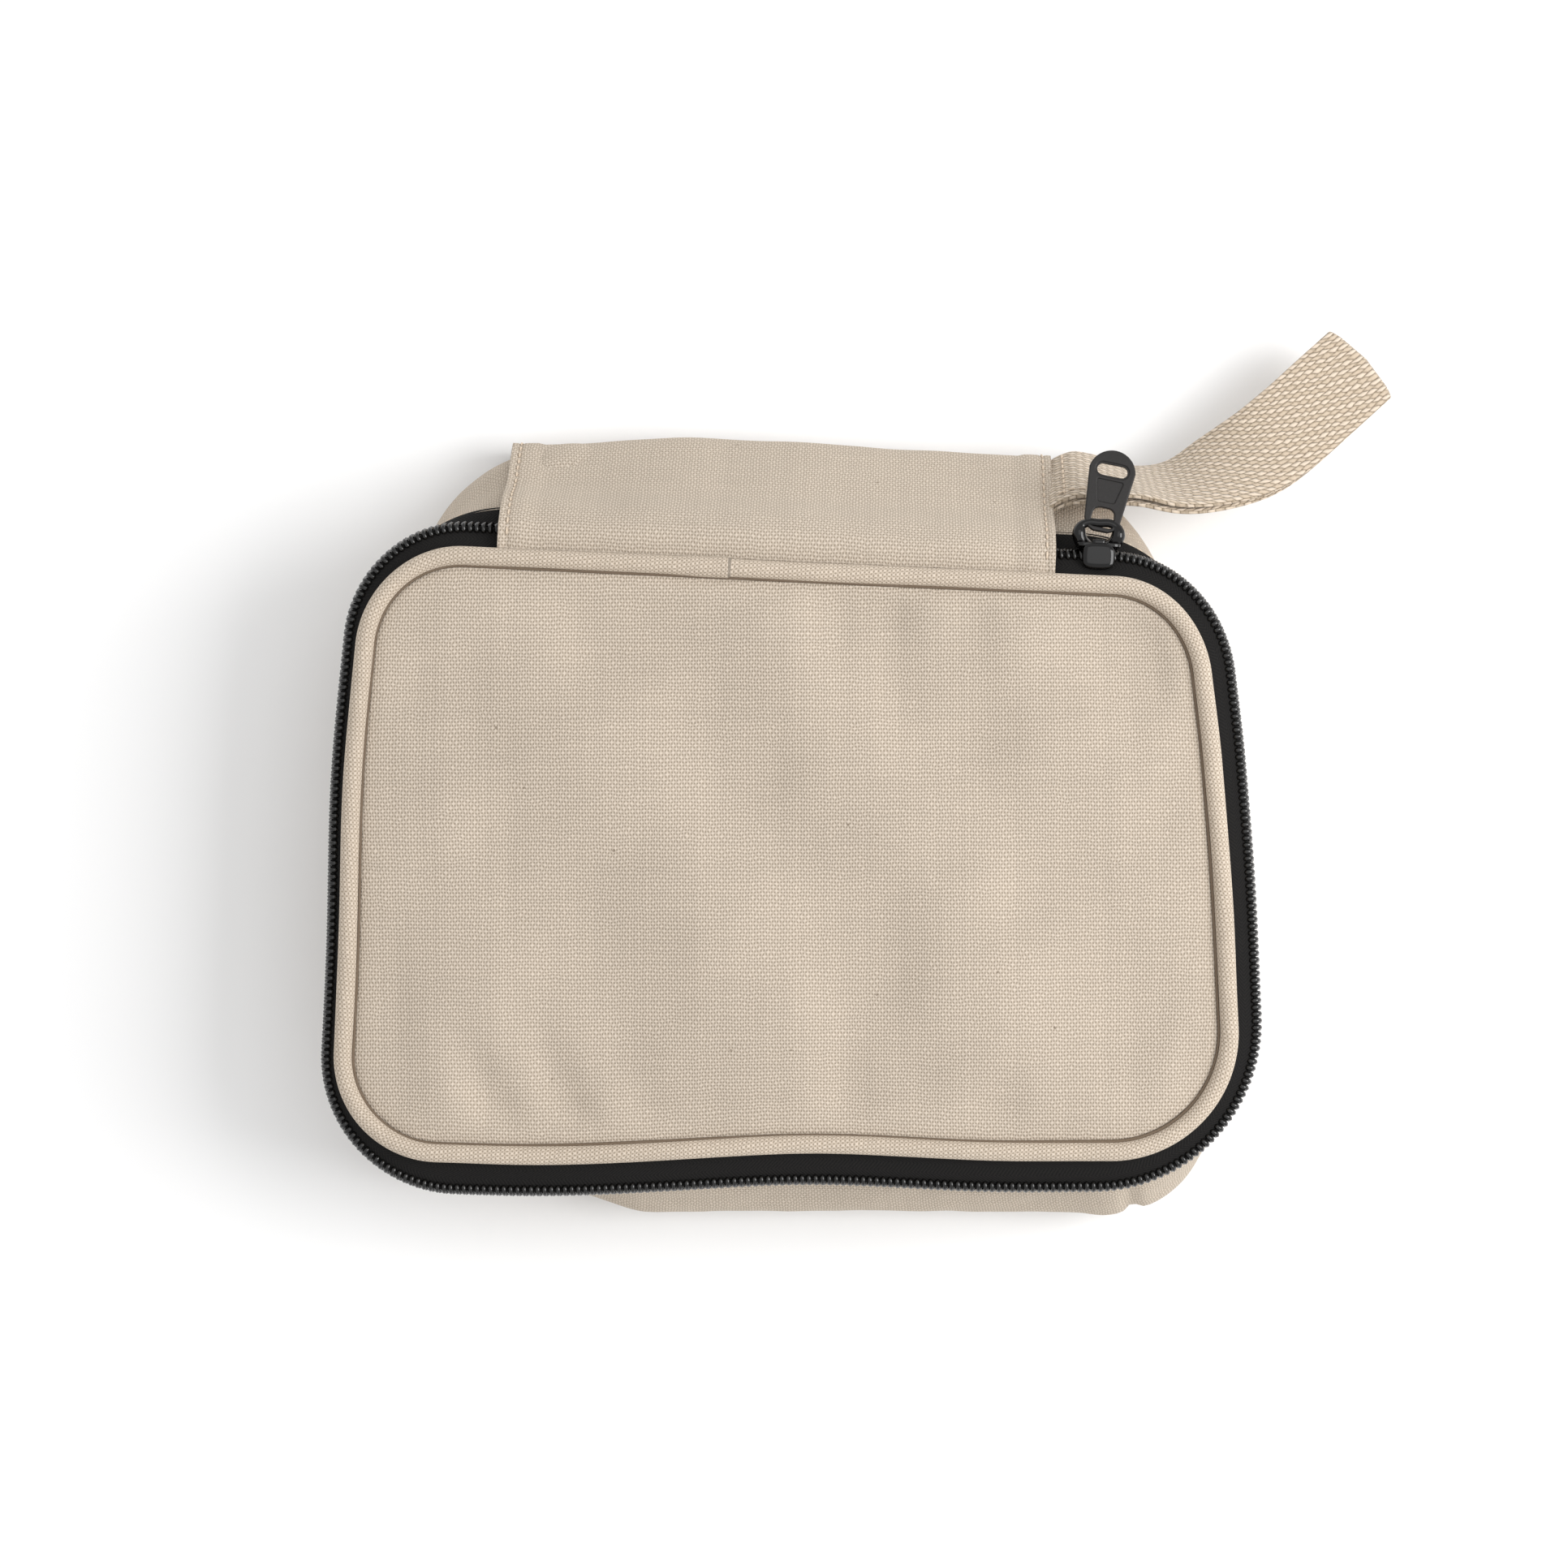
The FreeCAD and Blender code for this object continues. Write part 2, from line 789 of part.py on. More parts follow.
os.makedirs("parts", exist_ok=True)
floor_height = make_base()
make_band()
make_zip()
make_cover()
make_slider()
make_pull()
make_loop()
make_boxes(floor_height)
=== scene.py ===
import math

import bmesh
import bpy
import mathutils
import numpy as np
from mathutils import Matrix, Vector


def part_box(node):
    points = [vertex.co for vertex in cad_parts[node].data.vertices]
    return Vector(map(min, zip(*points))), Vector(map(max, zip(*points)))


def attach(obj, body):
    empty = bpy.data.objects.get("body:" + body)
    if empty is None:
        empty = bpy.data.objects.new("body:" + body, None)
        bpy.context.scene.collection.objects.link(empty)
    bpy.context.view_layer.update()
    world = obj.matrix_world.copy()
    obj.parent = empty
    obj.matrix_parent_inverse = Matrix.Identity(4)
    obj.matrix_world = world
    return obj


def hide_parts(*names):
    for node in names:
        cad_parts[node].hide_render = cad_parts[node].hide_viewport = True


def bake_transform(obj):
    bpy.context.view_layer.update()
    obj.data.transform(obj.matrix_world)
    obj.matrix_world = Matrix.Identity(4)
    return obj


# Zip-around canvas travel case for a week of pills, lying on its base, zip closed.
# Shapes are worked out in millimetres and put into the meshes in metres.
# +X runs along the spine, +Y points to the spine and +Z is up.

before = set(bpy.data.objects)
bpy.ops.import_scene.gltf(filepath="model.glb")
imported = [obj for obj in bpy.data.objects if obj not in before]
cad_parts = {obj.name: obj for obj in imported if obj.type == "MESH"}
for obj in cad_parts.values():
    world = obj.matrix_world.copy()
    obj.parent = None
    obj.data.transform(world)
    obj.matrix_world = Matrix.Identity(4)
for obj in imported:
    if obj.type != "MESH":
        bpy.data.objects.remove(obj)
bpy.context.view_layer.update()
MM = 0.001
UP = np.array([0.0, 0.0, 1.0])

# the zip's outline: front left, front right, rear right and rear left corners
CORNERS = np.array([(-103.3, -72.0), (103.3, -72.0), (94.6, 64.7), (-94.6, 73.3)])
ZIP_RADII = np.array([29.0, 36.0, 28.0, 26.0])
COVER_INSETS = np.array([9.5, 8.1, 7.9, 5.6])
COVER_RADII = np.array([20.0, 25.0, 20.0, 20.0])
SPINE_MIDDLE, SPINE_TURN = 69.0, math.atan2(-8.6, 2 * 94.6)
# where the spine's canvas band starts and ends, along the spine
BAND_LEFT, BAND_RIGHT = -62.5, 56.5
BAND_WIDE = BAND_RIGHT - BAND_LEFT
# sewing stitches: how far apart they start and how long each one shows
STITCH_PITCH, STITCH_LONG = 2.6, 1.9

# side wall: insets of the front, right, spine and left sides, corner radii, height
WALL = np.array(
    [
        (-1.0, 14.5, -16.0, 14.5, 16.0, 16.0, 26.0, 26.0, 3.3),
        (-6.5, 12.5, -20.0, 12.5, 18.0, 18.0, 36.0, 36.0, 11.0),
        (-2.5, 8.5, -11.0, 8.5, 22.0, 22.0, 36.0, 36.0, 22.0),
        (4.0, 5.0, -3.4, 5.0, 23.0, 23.0, 30.0, 30.0, 31.0),
    ]
)


# ---------------------------------------------------------------- small helpers
def spine_way(u, v, z):
    """A direction along the spine edge, outwards from it and up, turned into x, y, z."""
    c, s = math.cos(SPINE_TURN), math.sin(SPINE_TURN)
    u, v, z = np.broadcast_arrays(*(np.asarray(a, float) for a in (u, v, z)))
    return np.stack([u * c - v * s, u * s + v * c, z], axis=-1)


def spine_point(u, v, z):
    """The same for a place, measured from the spine's middle."""
    return spine_way(u, v, z) + (0.0, SPINE_MIDDLE, 0.0)


def smooth(x):
    """The step 3x^2 - 2x^3, held at 0 and 1 outside the range."""
    x = np.clip(x, 0.0, 1.0)
    return x * x * (3 - 2 * x)


def bump(x, middle, width):
    """A bell: e to the minus square of the distance from the middle in widths."""
    return np.exp(-(((x - middle) / width) ** 2))


def unit(a):
    """Each vector divided by its own length."""
    return a / np.maximum(np.linalg.norm(a, axis=-1, keepdims=True), 1e-12)


def walk(line):
    """How far along a line of points each one lies."""
    step = np.linalg.norm(np.diff(line, axis=0), axis=-1)
    return np.concatenate([np.zeros((1,) + step.shape[1:]), np.cumsum(step, axis=0)])


def read(at, walked, line):
    """Where a line of points lies at the given lengths of its walk."""
    return np.stack([np.interp(at, walked, way) for way in line.T], axis=-1)


def ripple(x, y, seed, scale, count=7):
    """A sum of sine waves with random headings and lengths near scale, between -1 and 1."""
    rng = np.random.default_rng(seed)
    total = np.zeros(np.broadcast(x, y).shape)
    for heading, length, phase in zip(
        rng.uniform(0, math.tau, count),
        scale * rng.uniform(0.7, 1.6, count),
        rng.uniform(0, math.tau, count),
    ):
        along = x * math.cos(heading) + y * math.sin(heading)
        total += np.sin(math.tau * along / length + phase)
    return total / count


def settle(points):
    """How a soft case lies: its zip wanders in and out by about a millimetre, more at
    the height of the zip than at the bottom. Each shift is a few bells along one side."""
    x, y, z = points[..., 0], points[..., 1], points[..., 2]
    up = smooth((z - 14.0) / 16.0)
    front = smooth((-y - 30.0) / 35.0)
    left = smooth((-x - 60.0) / 30.0)
    right = smooth((x - 60.0) / 30.0)
    rear = smooth((y - 20.0) / 30.0)
    wander = 1.5 * bump(x, 4, 26) - 0.9 * bump(x, -54, 24) - 0.2 * bump(x, 44, 15)
    moved = points.copy()
    moved[..., 1] += up * front * wander
    moved[..., 0] += up * left * (0.5 - 1.5 * bump(y, 18, 30))
    moved[..., 0] += up * right * (0.7 * bump(y, -5, 28) - 1.0 * rear)
    return moved


def hermite(knots, values, at):
    """A cubic Hermite curve through the values, read at the given places. Its slope at
    each knot is taken from the two neighbours."""
    slope = np.gradient(values, knots, axis=0)
    k = np.clip(np.searchsorted(knots, at, side="right") - 1, 0, len(knots) - 2)
    span = (knots[k + 1] - knots[k])[:, None]
    t = (at - knots[k])[:, None] / span
    return (
        (2 * t**3 - 3 * t**2 + 1) * values[k]
        + (t**3 - 2 * t**2 + t) * span * slope[k]
        + (3 * t**2 - 2 * t**3) * values[k + 1]
        + (t**3 - t**2) * span * slope[k + 1]
    )


def through(points, count):
    """A smooth line through the points, in count even steps: a cubic Hermite curve along
    the walk from point to point, in which the first three columns are the place."""
    points = np.asarray(points, float)
    knots = walk(points[:, :3])
    return hermite(knots, points, np.linspace(0, knots[-1], count))


def corner_points(insets):
    """Where the four sides meet after each one moves inwards by its own inset."""
    along = unit(np.roll(CORNERS, -1, axis=0) - CORNERS)
    inward = np.stack([-along[:, 1], along[:, 0]], axis=1)
    base = CORNERS + inward * np.broadcast_to(insets, 4)[:, None]
    before, prior = np.roll(base, 1, axis=0), np.roll(along, 1, axis=0)
    cross = prior[:, 0] * along[:, 1] - prior[:, 1] * along[:, 0]
    gap = base - before
    reach = (gap[:, 0] * along[:, 1] - gap[:, 1] * along[:, 0]) / cross
    return before + prior * reach[:, None]


def outline(insets, radii, count, gap=None):
    """Straight sides joined by tangent arcs, walked from the middle of the spine round
    the left side, the front and the right side, in count even steps of length.
    With a gap (left, right) the walk leaves out those lengths from the spine's middle.
    Returns x and y, the outward normals, and the length walked."""
    corners = corner_points(insets)
    to_prev = unit(np.roll(corners, 1, axis=0) - corners)
    to_next = unit(np.roll(corners, -1, axis=0) - corners)
    half = np.arccos(np.clip((to_prev * to_next).sum(1), -1, 1)) / 2
    centre = corners + unit(to_prev + to_next) * (radii / np.sin(half))[:, None]
    first = corners + to_prev * (radii / np.tan(half))[:, None] - centre
    turn = np.linspace(0, 1, 41)[None, :] * (np.pi - 2 * half)[:, None]
    c, s = np.cos(turn), np.sin(turn)
    arcs = [c * first[:, :1] - s * first[:, 1:], s * first[:, :1] + c * first[:, 1:]]
    arcs = np.stack(arcs, axis=-1) + centre[:, None]
    middle = (corners[2] + corners[3]) / 2
    line = np.concatenate([[middle], arcs[3], arcs[0], arcs[1], arcs[2], [middle]])
    walked = walk(line)
    total = walked[-1]
    if gap is None:
        at = np.arange(count) * total / count
    else:
        at = np.linspace(gap[0], total - gap[1], count)
    ahead, behind = (read((at + near) % total, walked, line) for near in (0.4, -0.4))
    along = unit(ahead - behind)
    return read(at, walked, line), np.stack([along[:, 1], -along[:, 0]], axis=1), at


def grid_faces(rows, columns, wrap_rows=False, wrap_columns=False):
    """Quads of a grid of rows by columns, closed round either way if asked."""
    r = np.arange(rows if wrap_rows else rows - 1)
    c = np.arange(columns if wrap_columns else columns - 1)
    r, c = np.meshgrid(r, c, indexing="ij")
    r2, c2 = (r + 1) % rows * columns, (c + 1) % columns
    r = r * columns
    return np.stack([r + c, r + c2, r2 + c2, r2 + c], axis=-1).reshape(-1, 4)


def get_points(mesh):
    """A mesh's points in metres, as rows."""
    co = np.empty(len(mesh.vertices) * 3)
    mesh.vertices.foreach_get("co", co)
    return co.reshape(-1, 3)


def add_object(name, data):
    """Puts data in the scene as an object at the origin."""
    made = bpy.data.objects.new(name, data)
    bpy.context.scene.collection.objects.link(made)
    return made


def make_piece(name, part, material):
    """A smooth mesh object from a part: points, faces and each point's place on the
    cloth, in millimetres. The places are kept as a UV map in metres called cloth."""
    points, faces, uv = part
    mesh = bpy.data.meshes.new(name)
    mesh.from_pydata((points.reshape(-1, 3) * MM).tolist(), [], faces.tolist())
    corner = np.empty(len(mesh.loops), np.int32)
    mesh.loops.foreach_get("vertex_index", corner)
    layer = mesh.uv_layers.new(name="cloth")
    layer.data.foreach_set("uv", (uv.reshape(-1, 2)[corner] * MM).ravel())
    mesh.polygons.foreach_set("use_smooth", np.ones(len(mesh.polygons), bool))
    mesh.update()
    mesh.materials.append(material)
    return add_object(name, mesh)


def outward(piece):
    """Turns every face of a closed mesh outwards, by the sign of its volume."""
    mesh = piece.data
    mesh.calc_loop_triangles()
    tris = np.empty(len(mesh.loop_triangles) * 3, np.int32)
    mesh.loop_triangles.foreach_get("vertices", tris)
    a, b, c = (get_points(mesh)[tris.reshape(-1, 3)[:, k]] for k in range(3))
    if (a * np.cross(b, c)).sum() < 0:
        mesh.flip_normals()
    return piece


def thicken(piece, thickness, offset=-1.0):
    """Solidify, thickness in millimetres, kept in the mesh. At offset -1 it grows inwards."""
    wall = piece.modifiers.new("thickness", "SOLIDIFY")
    wall.thickness = thickness * MM
    wall.offset = offset
    wall.use_rim = True
    wall.use_even_offset = False
    return apply_modifiers(piece)


def refine(piece):
    """One level of subdivision surface, kept in the mesh."""
    soft = piece.modifiers.new("soft", "SUBSURF")
    soft.levels = soft.render_levels = 1
    return apply_modifiers(piece)


def apply_modifiers(piece):
    """Replaces the mesh with the one its modifiers give."""
    graph = bpy.context.evaluated_depsgraph_get()
    made = bpy.data.meshes.new_from_object(piece.evaluated_get(graph))
    piece.modifiers.clear()
    piece.data = made
    return piece


def reshape(piece, change):
    """Moves a mesh's points by a function of their places, both in millimetres."""
    points = get_points(piece.data) / MM
    piece.data.vertices.foreach_set("co", (change(points) * MM).ravel())
    piece.data.update()
    return piece


def join_parts(parts):
    """Stacks several parts into one."""
    start, all_points, all_faces, all_uv = 0, [], [], []
    for points, faces, uv in parts:
        all_points.append(points.reshape(-1, 3))
        all_faces.append(faces + start)
        all_uv.append(uv.reshape(-1, 2))
        start += len(all_points[-1])
    return np.concatenate(all_points), np.concatenate(all_faces), np.concatenate(all_uv)


def repeated(face, copies, points_each):
    """The faces of one part, repeated for so many copies of its points."""
    return (face[None] + (np.arange(copies) * points_each)[:, None, None]).reshape(-1, 4)


def tube(path, side, up, profile, closed=True):
    """A profile (k points, across and up) carried along a path with its own side and up
    directions, so a point is path + across * side + up * up. An open tube's ends are
    drawn in to the path's end points. Returns points, faces and cloth places: the
    length walked along and the length round the profile."""
    profile = np.broadcast_to(profile, (len(path),) + profile.shape[-2:])
    side, up = (np.broadcast_to(a, path.shape)[:, None] for a in (side, up))
    rings = path[:, None] + profile[..., :1] * side + profile[..., 1:] * up
    loop = np.linalg.norm(np.roll(profile, -1, axis=1) - profile, axis=-1)
    round_ = np.concatenate([np.zeros((len(path), 1)), np.cumsum(loop, axis=1)], axis=1)
    uv = np.stack(np.broadcast_arrays(walk(path)[:, None], round_[:, :-1]), axis=-1)
    if not closed:
        first, last = (np.broadcast_to(path[k], rings[:1].shape) for k in (0, -1))
        rings = np.concatenate([first, rings, last])
        uv = np.concatenate([uv[:1], uv, uv[-1:]])
    return rings, grid_faces(len(rings), rings.shape[1], closed, True), uv


def circle(radius_across, radius_up, count, soft_across=1.0, soft_up=1.0):
    """An ellipse of count points, anticlockwise as seen along the path's start. Powers
    below 1 square it up, across or up."""
    a = np.linspace(0, math.tau, count, endpoint=False)
    ring = np.stack([np.cos(a), np.sin(a)], axis=1)
    ring = np.sign(ring) * np.abs(ring) ** np.array([soft_across, soft_up])
    return ring * np.array([radius_across, radius_up])


def merge_close(piece, distance):
    """Joins points that lie on each other, distance in millimetres."""
    cleaned = bmesh.new()
    cleaned.from_mesh(piece.data)
    bmesh.ops.remove_doubles(cleaned, verts=cleaned.verts, dist=distance * MM)
    cleaned.to_mesh(piece.data)
    cleaned.free()
    return piece


def closed_piece(name, part, material, merge=0.0005):
    """A closed mesh from a part, its doubled points joined and its faces outward."""
    return outward(merge_close(make_piece(name, part, material), merge))


def settled(part):
    """A part whose points have settled."""
    return settle(part[0]), *part[1:]


# ---------------------------------------------------------------- materials
def colour(code):
    """An sRGB hex code as a linear RGBA colour."""
    parts = np.array([int(code[k : k + 2], 16) for k in (1, 3, 5)]) / 255
    linear = np.where(parts <= 0.04045, parts / 12.92, ((parts + 0.055) / 1.055) ** 2.4)
    return (*linear, 1.0)


def node(tree, kind, inputs=None, **settings):
    """Adds a node, sets its properties, and fills its inputs: a socket is linked, a hex
    code becomes a colour, and anything else is set as the input's own value."""
    made = tree.nodes.new("ShaderNode" + kind)
    for key, value in settings.items():
        setattr(made, key, value)
    for key, value in (inputs or {}).items():
        if isinstance(value, bpy.types.NodeSocket):
            tree.links.new(value, made.inputs[key])
        else:
            made.inputs[key].default_value = colour(value) if isinstance(value, str) else value
    return made


def maths(tree, operation, *values):
    """One Math node, with its values in order."""
    return node(tree, "Math", dict(enumerate(values)), operation=operation).outputs[0]


def noise(tree, place, scale, detail):
    """A Noise node's outputs, the factor first and the colour second."""
    return node(tree, "TexNoise", {"Vector": place, "Scale": scale, "Detail": detail}).outputs


def mapped(tree, value, *ends):
    """Value taken from the range of the first two ends to that of the last two."""
    names = ("From Min", "From Max", "To Min", "To Max")
    return node(tree, "MapRange", {"Value": value, **dict(zip(names, ends))}).outputs[0]


def mixed(tree, factor, first, second):
    """The first colour taken towards the second by the factor."""
    return node(tree, "Mix", {0: factor, 6: first, 7: second}, data_type="RGBA").outputs[2]


def new_material(name):
    """An empty material with one Principled surface: itself, its tree and the surface."""
    material = bpy.data.materials.new(name)
    material.use_nodes = True
    tree = material.node_tree
    tree.nodes.clear()
    surface = node(tree, "BsdfPrincipled")
    node(tree, "OutputMaterial", {"Surface": surface.outputs["BSDF"]})
    return material, tree, surface


def on_cloth(tree, turn=0.0):
    """The place on the cloth in millimetres, turned by so many degrees."""
    place = node(tree, "UVMap", uv_map="cloth").outputs["UV"]
    turned = {"Vector": place, "Rotation": (0, 0, math.radians(turn)), "Scale": (1000,) * 3}
    return node(tree, "Mapping", turned).outputs[0]


def wavering(tree, cloth, scale, reach):
    """The x and y of the cloth after threads waver by up to reach millimetres."""
    waver = noise(tree, cloth, scale, 2.0)["Color"]
    drift = {0: waver, 1: (*reach, 0.0), 2: cloth}
    drift = node(tree, "VectorMath", drift, operation="MULTIPLY_ADD").outputs[0]
    return node(tree, "SeparateXYZ", {0: drift}).outputs


def finish(tree, surface, tone, height, strength, lift, sockets):
    """Links the colour and a bump of the given lift in millimetres, and sets sockets."""
    bump_inputs = {"Height": height, "Strength": strength, "Distance": lift * MM}
    tree.links.new(tone, surface.inputs["Base Color"])
    tree.links.new(node(tree, "Bump", bump_inputs).outputs[0], surface.inputs["Normal"])
    for key, value in sockets.items():
        surface.inputs[key.replace("_", " ")].default_value = value


def woven_cotton(name, light, deep, warp, weft, turn=0.0, lift=0.16, flecks=True):
    """Unbleached cotton in a plain weave. Warp and weft are the thread spacings in
    millimetres, and a sine runs across each. The larger of the two is the height, and
    the colour follows it: the pinholes left where both are 0 are real gaps, darkened
    with painted shade. Where their product is above 0 the warp lies on top and is
    painted lighter, a painted highlight. Threads differ a little in tone, slubs run
    along them, and brown seed specks are left in."""
    material, tree, surface = new_material(name)
    cloth = on_cloth(tree, turn)
    xy = wavering(tree, cloth, 0.3, (0.9, 0.9))
    sines, sizes, tones = [], [], []
    for axis, spacing in (("X", warp), ("Y", weft)):
        turns = maths(tree, "MULTIPLY", xy[axis], 1 / spacing)
        sines.append(maths(tree, "SINE", maths(tree, "MULTIPLY", turns, math.pi)))
        sizes.append(maths(tree, "ABSOLUTE", sines[-1]))
        thread = {"W": maths(tree, "FLOOR", turns)}
        tones.append(node(tree, "TexWhiteNoise", thread, noise_dimensions="1D").outputs[0])
    dome = maths(tree, "POWER", maths(tree, "MAXIMUM", *sizes), 1.6)
    level = mapped(tree, maths(tree, "MULTIPLY", *sines), -0.25, 0.3, 0.62, 1.0)
    height = maths(tree, "MULTIPLY", dome, level)
    stretched = node(tree, "Mapping", {"Vector": cloth, "Scale": (0.12, 1.5, 1)}).outputs[0]
    slub = noise(tree, stretched, 1.0, 3.0)[0]
    broad = noise(tree, cloth, 0.035, 3.0)[0]
    # the colour follows the weave's height: painted shade in the gaps, painted highlight where the
    # warp lies on top
    shade = mixed(tree, height, deep, light)
    for part, amount in ((tones[0], 0.05), (tones[1], 0.03), (slub, 0.16), (broad, 0.14)):
        factor = mapped(tree, part, 0.0, 1.0, 1 - amount / 2, 1 + amount / 2)
        shade = node(tree, "VectorMath", {0: shade, 3: factor}, operation="SCALE").outputs[0]
    if flecks:
        seed = node(tree, "TexVoronoi", {"Vector": cloth, "Scale": 0.16, "Randomness": 1.0})
        pick = node(tree, "SeparateColor", {0: seed.outputs["Color"]}).outputs[0]
        width = mapped(tree, pick, 0.45, 1.0, 0.0, 0.055)
        inside = maths(tree, "LESS_THAN", seed.outputs["Distance"], width)
        shade = mixed(tree, maths(tree, "MULTIPLY", inside, 0.55), shade, "#5b4a38")
    fuzz = {"Sheen_Weight": 0.25, "Sheen_Roughness": 0.6, "Sheen_Tint": colour("#efe4d4")}
    fuzz |= {"Roughness": 0.92, "Specular_IOR_Level": 0.25}
    finish(tree, surface, shade, height, 0.9, lift, fuzz)
    return material


def heavy_webbing(name):
    """Thick soft cotton webbing. Its yarns are plied and about 1 mm wide, and show as
    slanted dashes with dark gaps: a sine along, shifted within each row so that the
    dashes lean, times a sine across. The colour follows this height, so the gaps are
    darkened with painted shade and the yarns' crowns painted pale as painted light."""
    material, tree, surface = new_material(name)
    cloth = on_cloth(tree)
    xy = wavering(tree, cloth, 0.35, (1.5, 0.8))
    row = maths(tree, "MULTIPLY", xy["Y"], 1 / 1.05)
    lean = maths(tree, "MULTIPLY_ADD", maths(tree, "FRACT", row), 1.1, xy["X"])
    along = maths(tree, "SINE", maths(tree, "MULTIPLY", lean, math.pi / 1.75))
    across = maths(tree, "SINE", maths(tree, "MULTIPLY", row, math.pi))
    crossing = maths(tree, "MULTIPLY", along, across)
    dome = maths(tree, "POWER", maths(tree, "ABSOLUTE", crossing), 0.5)
    height = maths(tree, "MULTIPLY", dome, mapped(tree, crossing, -0.3, 0.25, 0.42, 1.0))
    fuzzy = maths(tree, "MULTIPLY_ADD", noise(tree, cloth, 2.2, 4.0)[0], 0.35, height)
    # colour from height: painted shade in the gaps between yarns, painted light on their crowns
    tone = node(tree, "ValToRGB", {0: fuzzy})
    ramp = tone.color_ramp
    ramp.elements[0].position, ramp.elements[0].color = 0.22, colour("#74644f")
    ramp.elements[1].position, ramp.elements[1].color = 0.95, colour("#d9c9b6")
    ramp.elements.new(0.5).color = colour("#c3b29d")
    sockets = {"Roughness": 0.95, "Specular_IOR_Level": 0.2, "Sheen_Weight": 0.3}
    finish(tree, surface, tone.outputs[0], fuzzy, 1.0, 0.36, sockets)
    return material


def ribbed_cloth(name, dark, pale, rib, bone, lift, roughness=0.85):
    """Narrow woven tape or elastic: ribs of the given spacing that lean one way and then
    the other in bands, as a herringbone does. The lean is the distance from the middle
    of a band, folded by a ping-pong. The colour follows the ribs' height: painted shade
    darkens the grooves and the crests are painted pale."""
    material, tree, surface = new_material(name)
    cloth = on_cloth(tree)
    xy = node(tree, "SeparateXYZ", {0: cloth}).outputs
    lean = maths(tree, "ADD", maths(tree, "PINGPONG", xy["Y"], bone), xy["X"])
    wave = maths(tree, "SINE", maths(tree, "MULTIPLY", lean, math.tau / rib))
    height = maths(tree, "MULTIPLY_ADD", wave, 0.3, noise(tree, cloth, 2.0, 4.0)[0])
    # tone from height: painted shade in the grooves, painted light on the rib crests
    tone = mixed(tree, mapped(tree, height, 0.15, 0.9), dark, pale)
    sockets = {"Roughness": roughness, "Specular_IOR_Level": 0.3}
    finish(tree, surface, tone, height, 0.8, lift, sockets)
    return material


def hard_finish(name, dark, pale, grain, lift, roughness, spread, **sockets):
    """A moulded, painted or drawn surface: its tone and roughness vary with a noise whose
    grain is in millimetres, and the same noise lifts it by a few hundredths."""
    material, tree, surface = new_material(name)
    place = node(tree, "TexCoord").outputs["Object"]
    spot = node(tree, "Mapping", {"Vector": place, "Scale": (1000 / grain,) * 3}).outputs[0]
    fine = noise(tree, spot, 1.0, 5.0)[0]
    wear = noise(tree, spot, 0.07, 3.0)[0]
    gloss = mapped(tree, wear, 0.3, 0.7, roughness - spread, roughness + spread)
    tree.links.new(gloss, surface.inputs["Roughness"])
    finish(tree, surface, mixed(tree, fine, dark, pale), fine, 0.6, lift, sockets)
    return material


# Unbleached 12 oz cotton canvas, plain weave: matt, warm, with a few seed specks; its
# thread crossings are painted pale and its gaps painted darker, as light and shade.
# Threads are 0.61 mm and 0.77 mm apart.
canvas = woven_cotton("cotton_canvas", "#cec1b2", "#8d7f6d", 0.61, 0.77)
# The same canvas cut on the bias, so its threads run aslant over the piping cord. It is made a
# shade paler than the canvas: painted light on the piping's raised round.
bias_canvas = woven_cotton("bias_cut_canvas", "#d3c5b5", "#8f806d", 0.62, 0.74, 42.0, 0.16, False)
# Light cotton sheeting that lines the case, with a finer weave.
lining_cloth = woven_cotton("cotton_lining", "#e6dccb", "#c2b49d", 0.45, 0.5, 0.0, 0.08, False)
# Plied cotton webbing, soft and chunky.
webbing_cloth = heavy_webbing("cotton_webbing")
# Woven polyester zip tape: charcoal black, dull, with a fine herringbone of 0.8 mm ribs.
tape_cloth = ribbed_cloth("polyester_zip_tape", "#060505", "#171513", 0.8, 2.2, 0.12)
# Knitted elastic, black, ribbed along its length.
elastic_cloth = ribbed_cloth("knitted_elastic", "#161616", "#3b3b3c", 1.1, 0.9, 0.2, 0.7)
# Extruded nylon monofilament of the zip: black and glossy.
coil_nylon = hard_finish(
    "black_nylon_coil", "#080707", "#141312", 2.0, 0.02, 0.2, 0.05, Specular_IOR_Level=0.6
)
# Zinc casting with glossy black stove enamel.
gloss_enamel = hard_finish(
    "gloss_black_enamel", "#080707", "#100f0f", 3.0, 0.03, 0.14, 0.04, Specular_IOR_Level=0.4
)
# The same casting in a satin charcoal enamel, slightly orange-peeled.
satin_enamel = hard_finish(
    "satin_charcoal_enamel", "#151312", "#221f1e", 0.5, 0.05, 0.42, 0.08, Specular_IOR_Level=0.35
)
# Injection-moulded polypropylene: milky, with a soft sheen; light enters it a little.
glow = {"Subsurface_Weight": 0.15, "Subsurface_Radius": (0.002, 0.002, 0.002)}
box_plastic = hard_finish(
    "milky_polypropylene", "#e3e6e6", "#eef0ef", 1.2, 0.04, 0.36, 0.06, **glow
)
# The lids' polypropylene is tinted, day side and night side alike.
lid_plastic = hard_finish(
    "tinted_polypropylene", "#a9c4c4", "#b9d0ce", 1.2, 0.04, 0.3, 0.06, **glow
)
# Drawn stainless steel wire.
rod_steel = hard_finish("stainless_wire", "#b9b8b5", "#cfcecb", 0.3, 0.01, 0.28, 0.06, Metallic=1.0)
# Zip end stops pressed from blackened brass.
stop_metal = hard_finish(
    "blackened_brass", "#1c1a18", "#33302c", 0.8, 0.02, 0.35, 0.08, Metallic=0.8
)
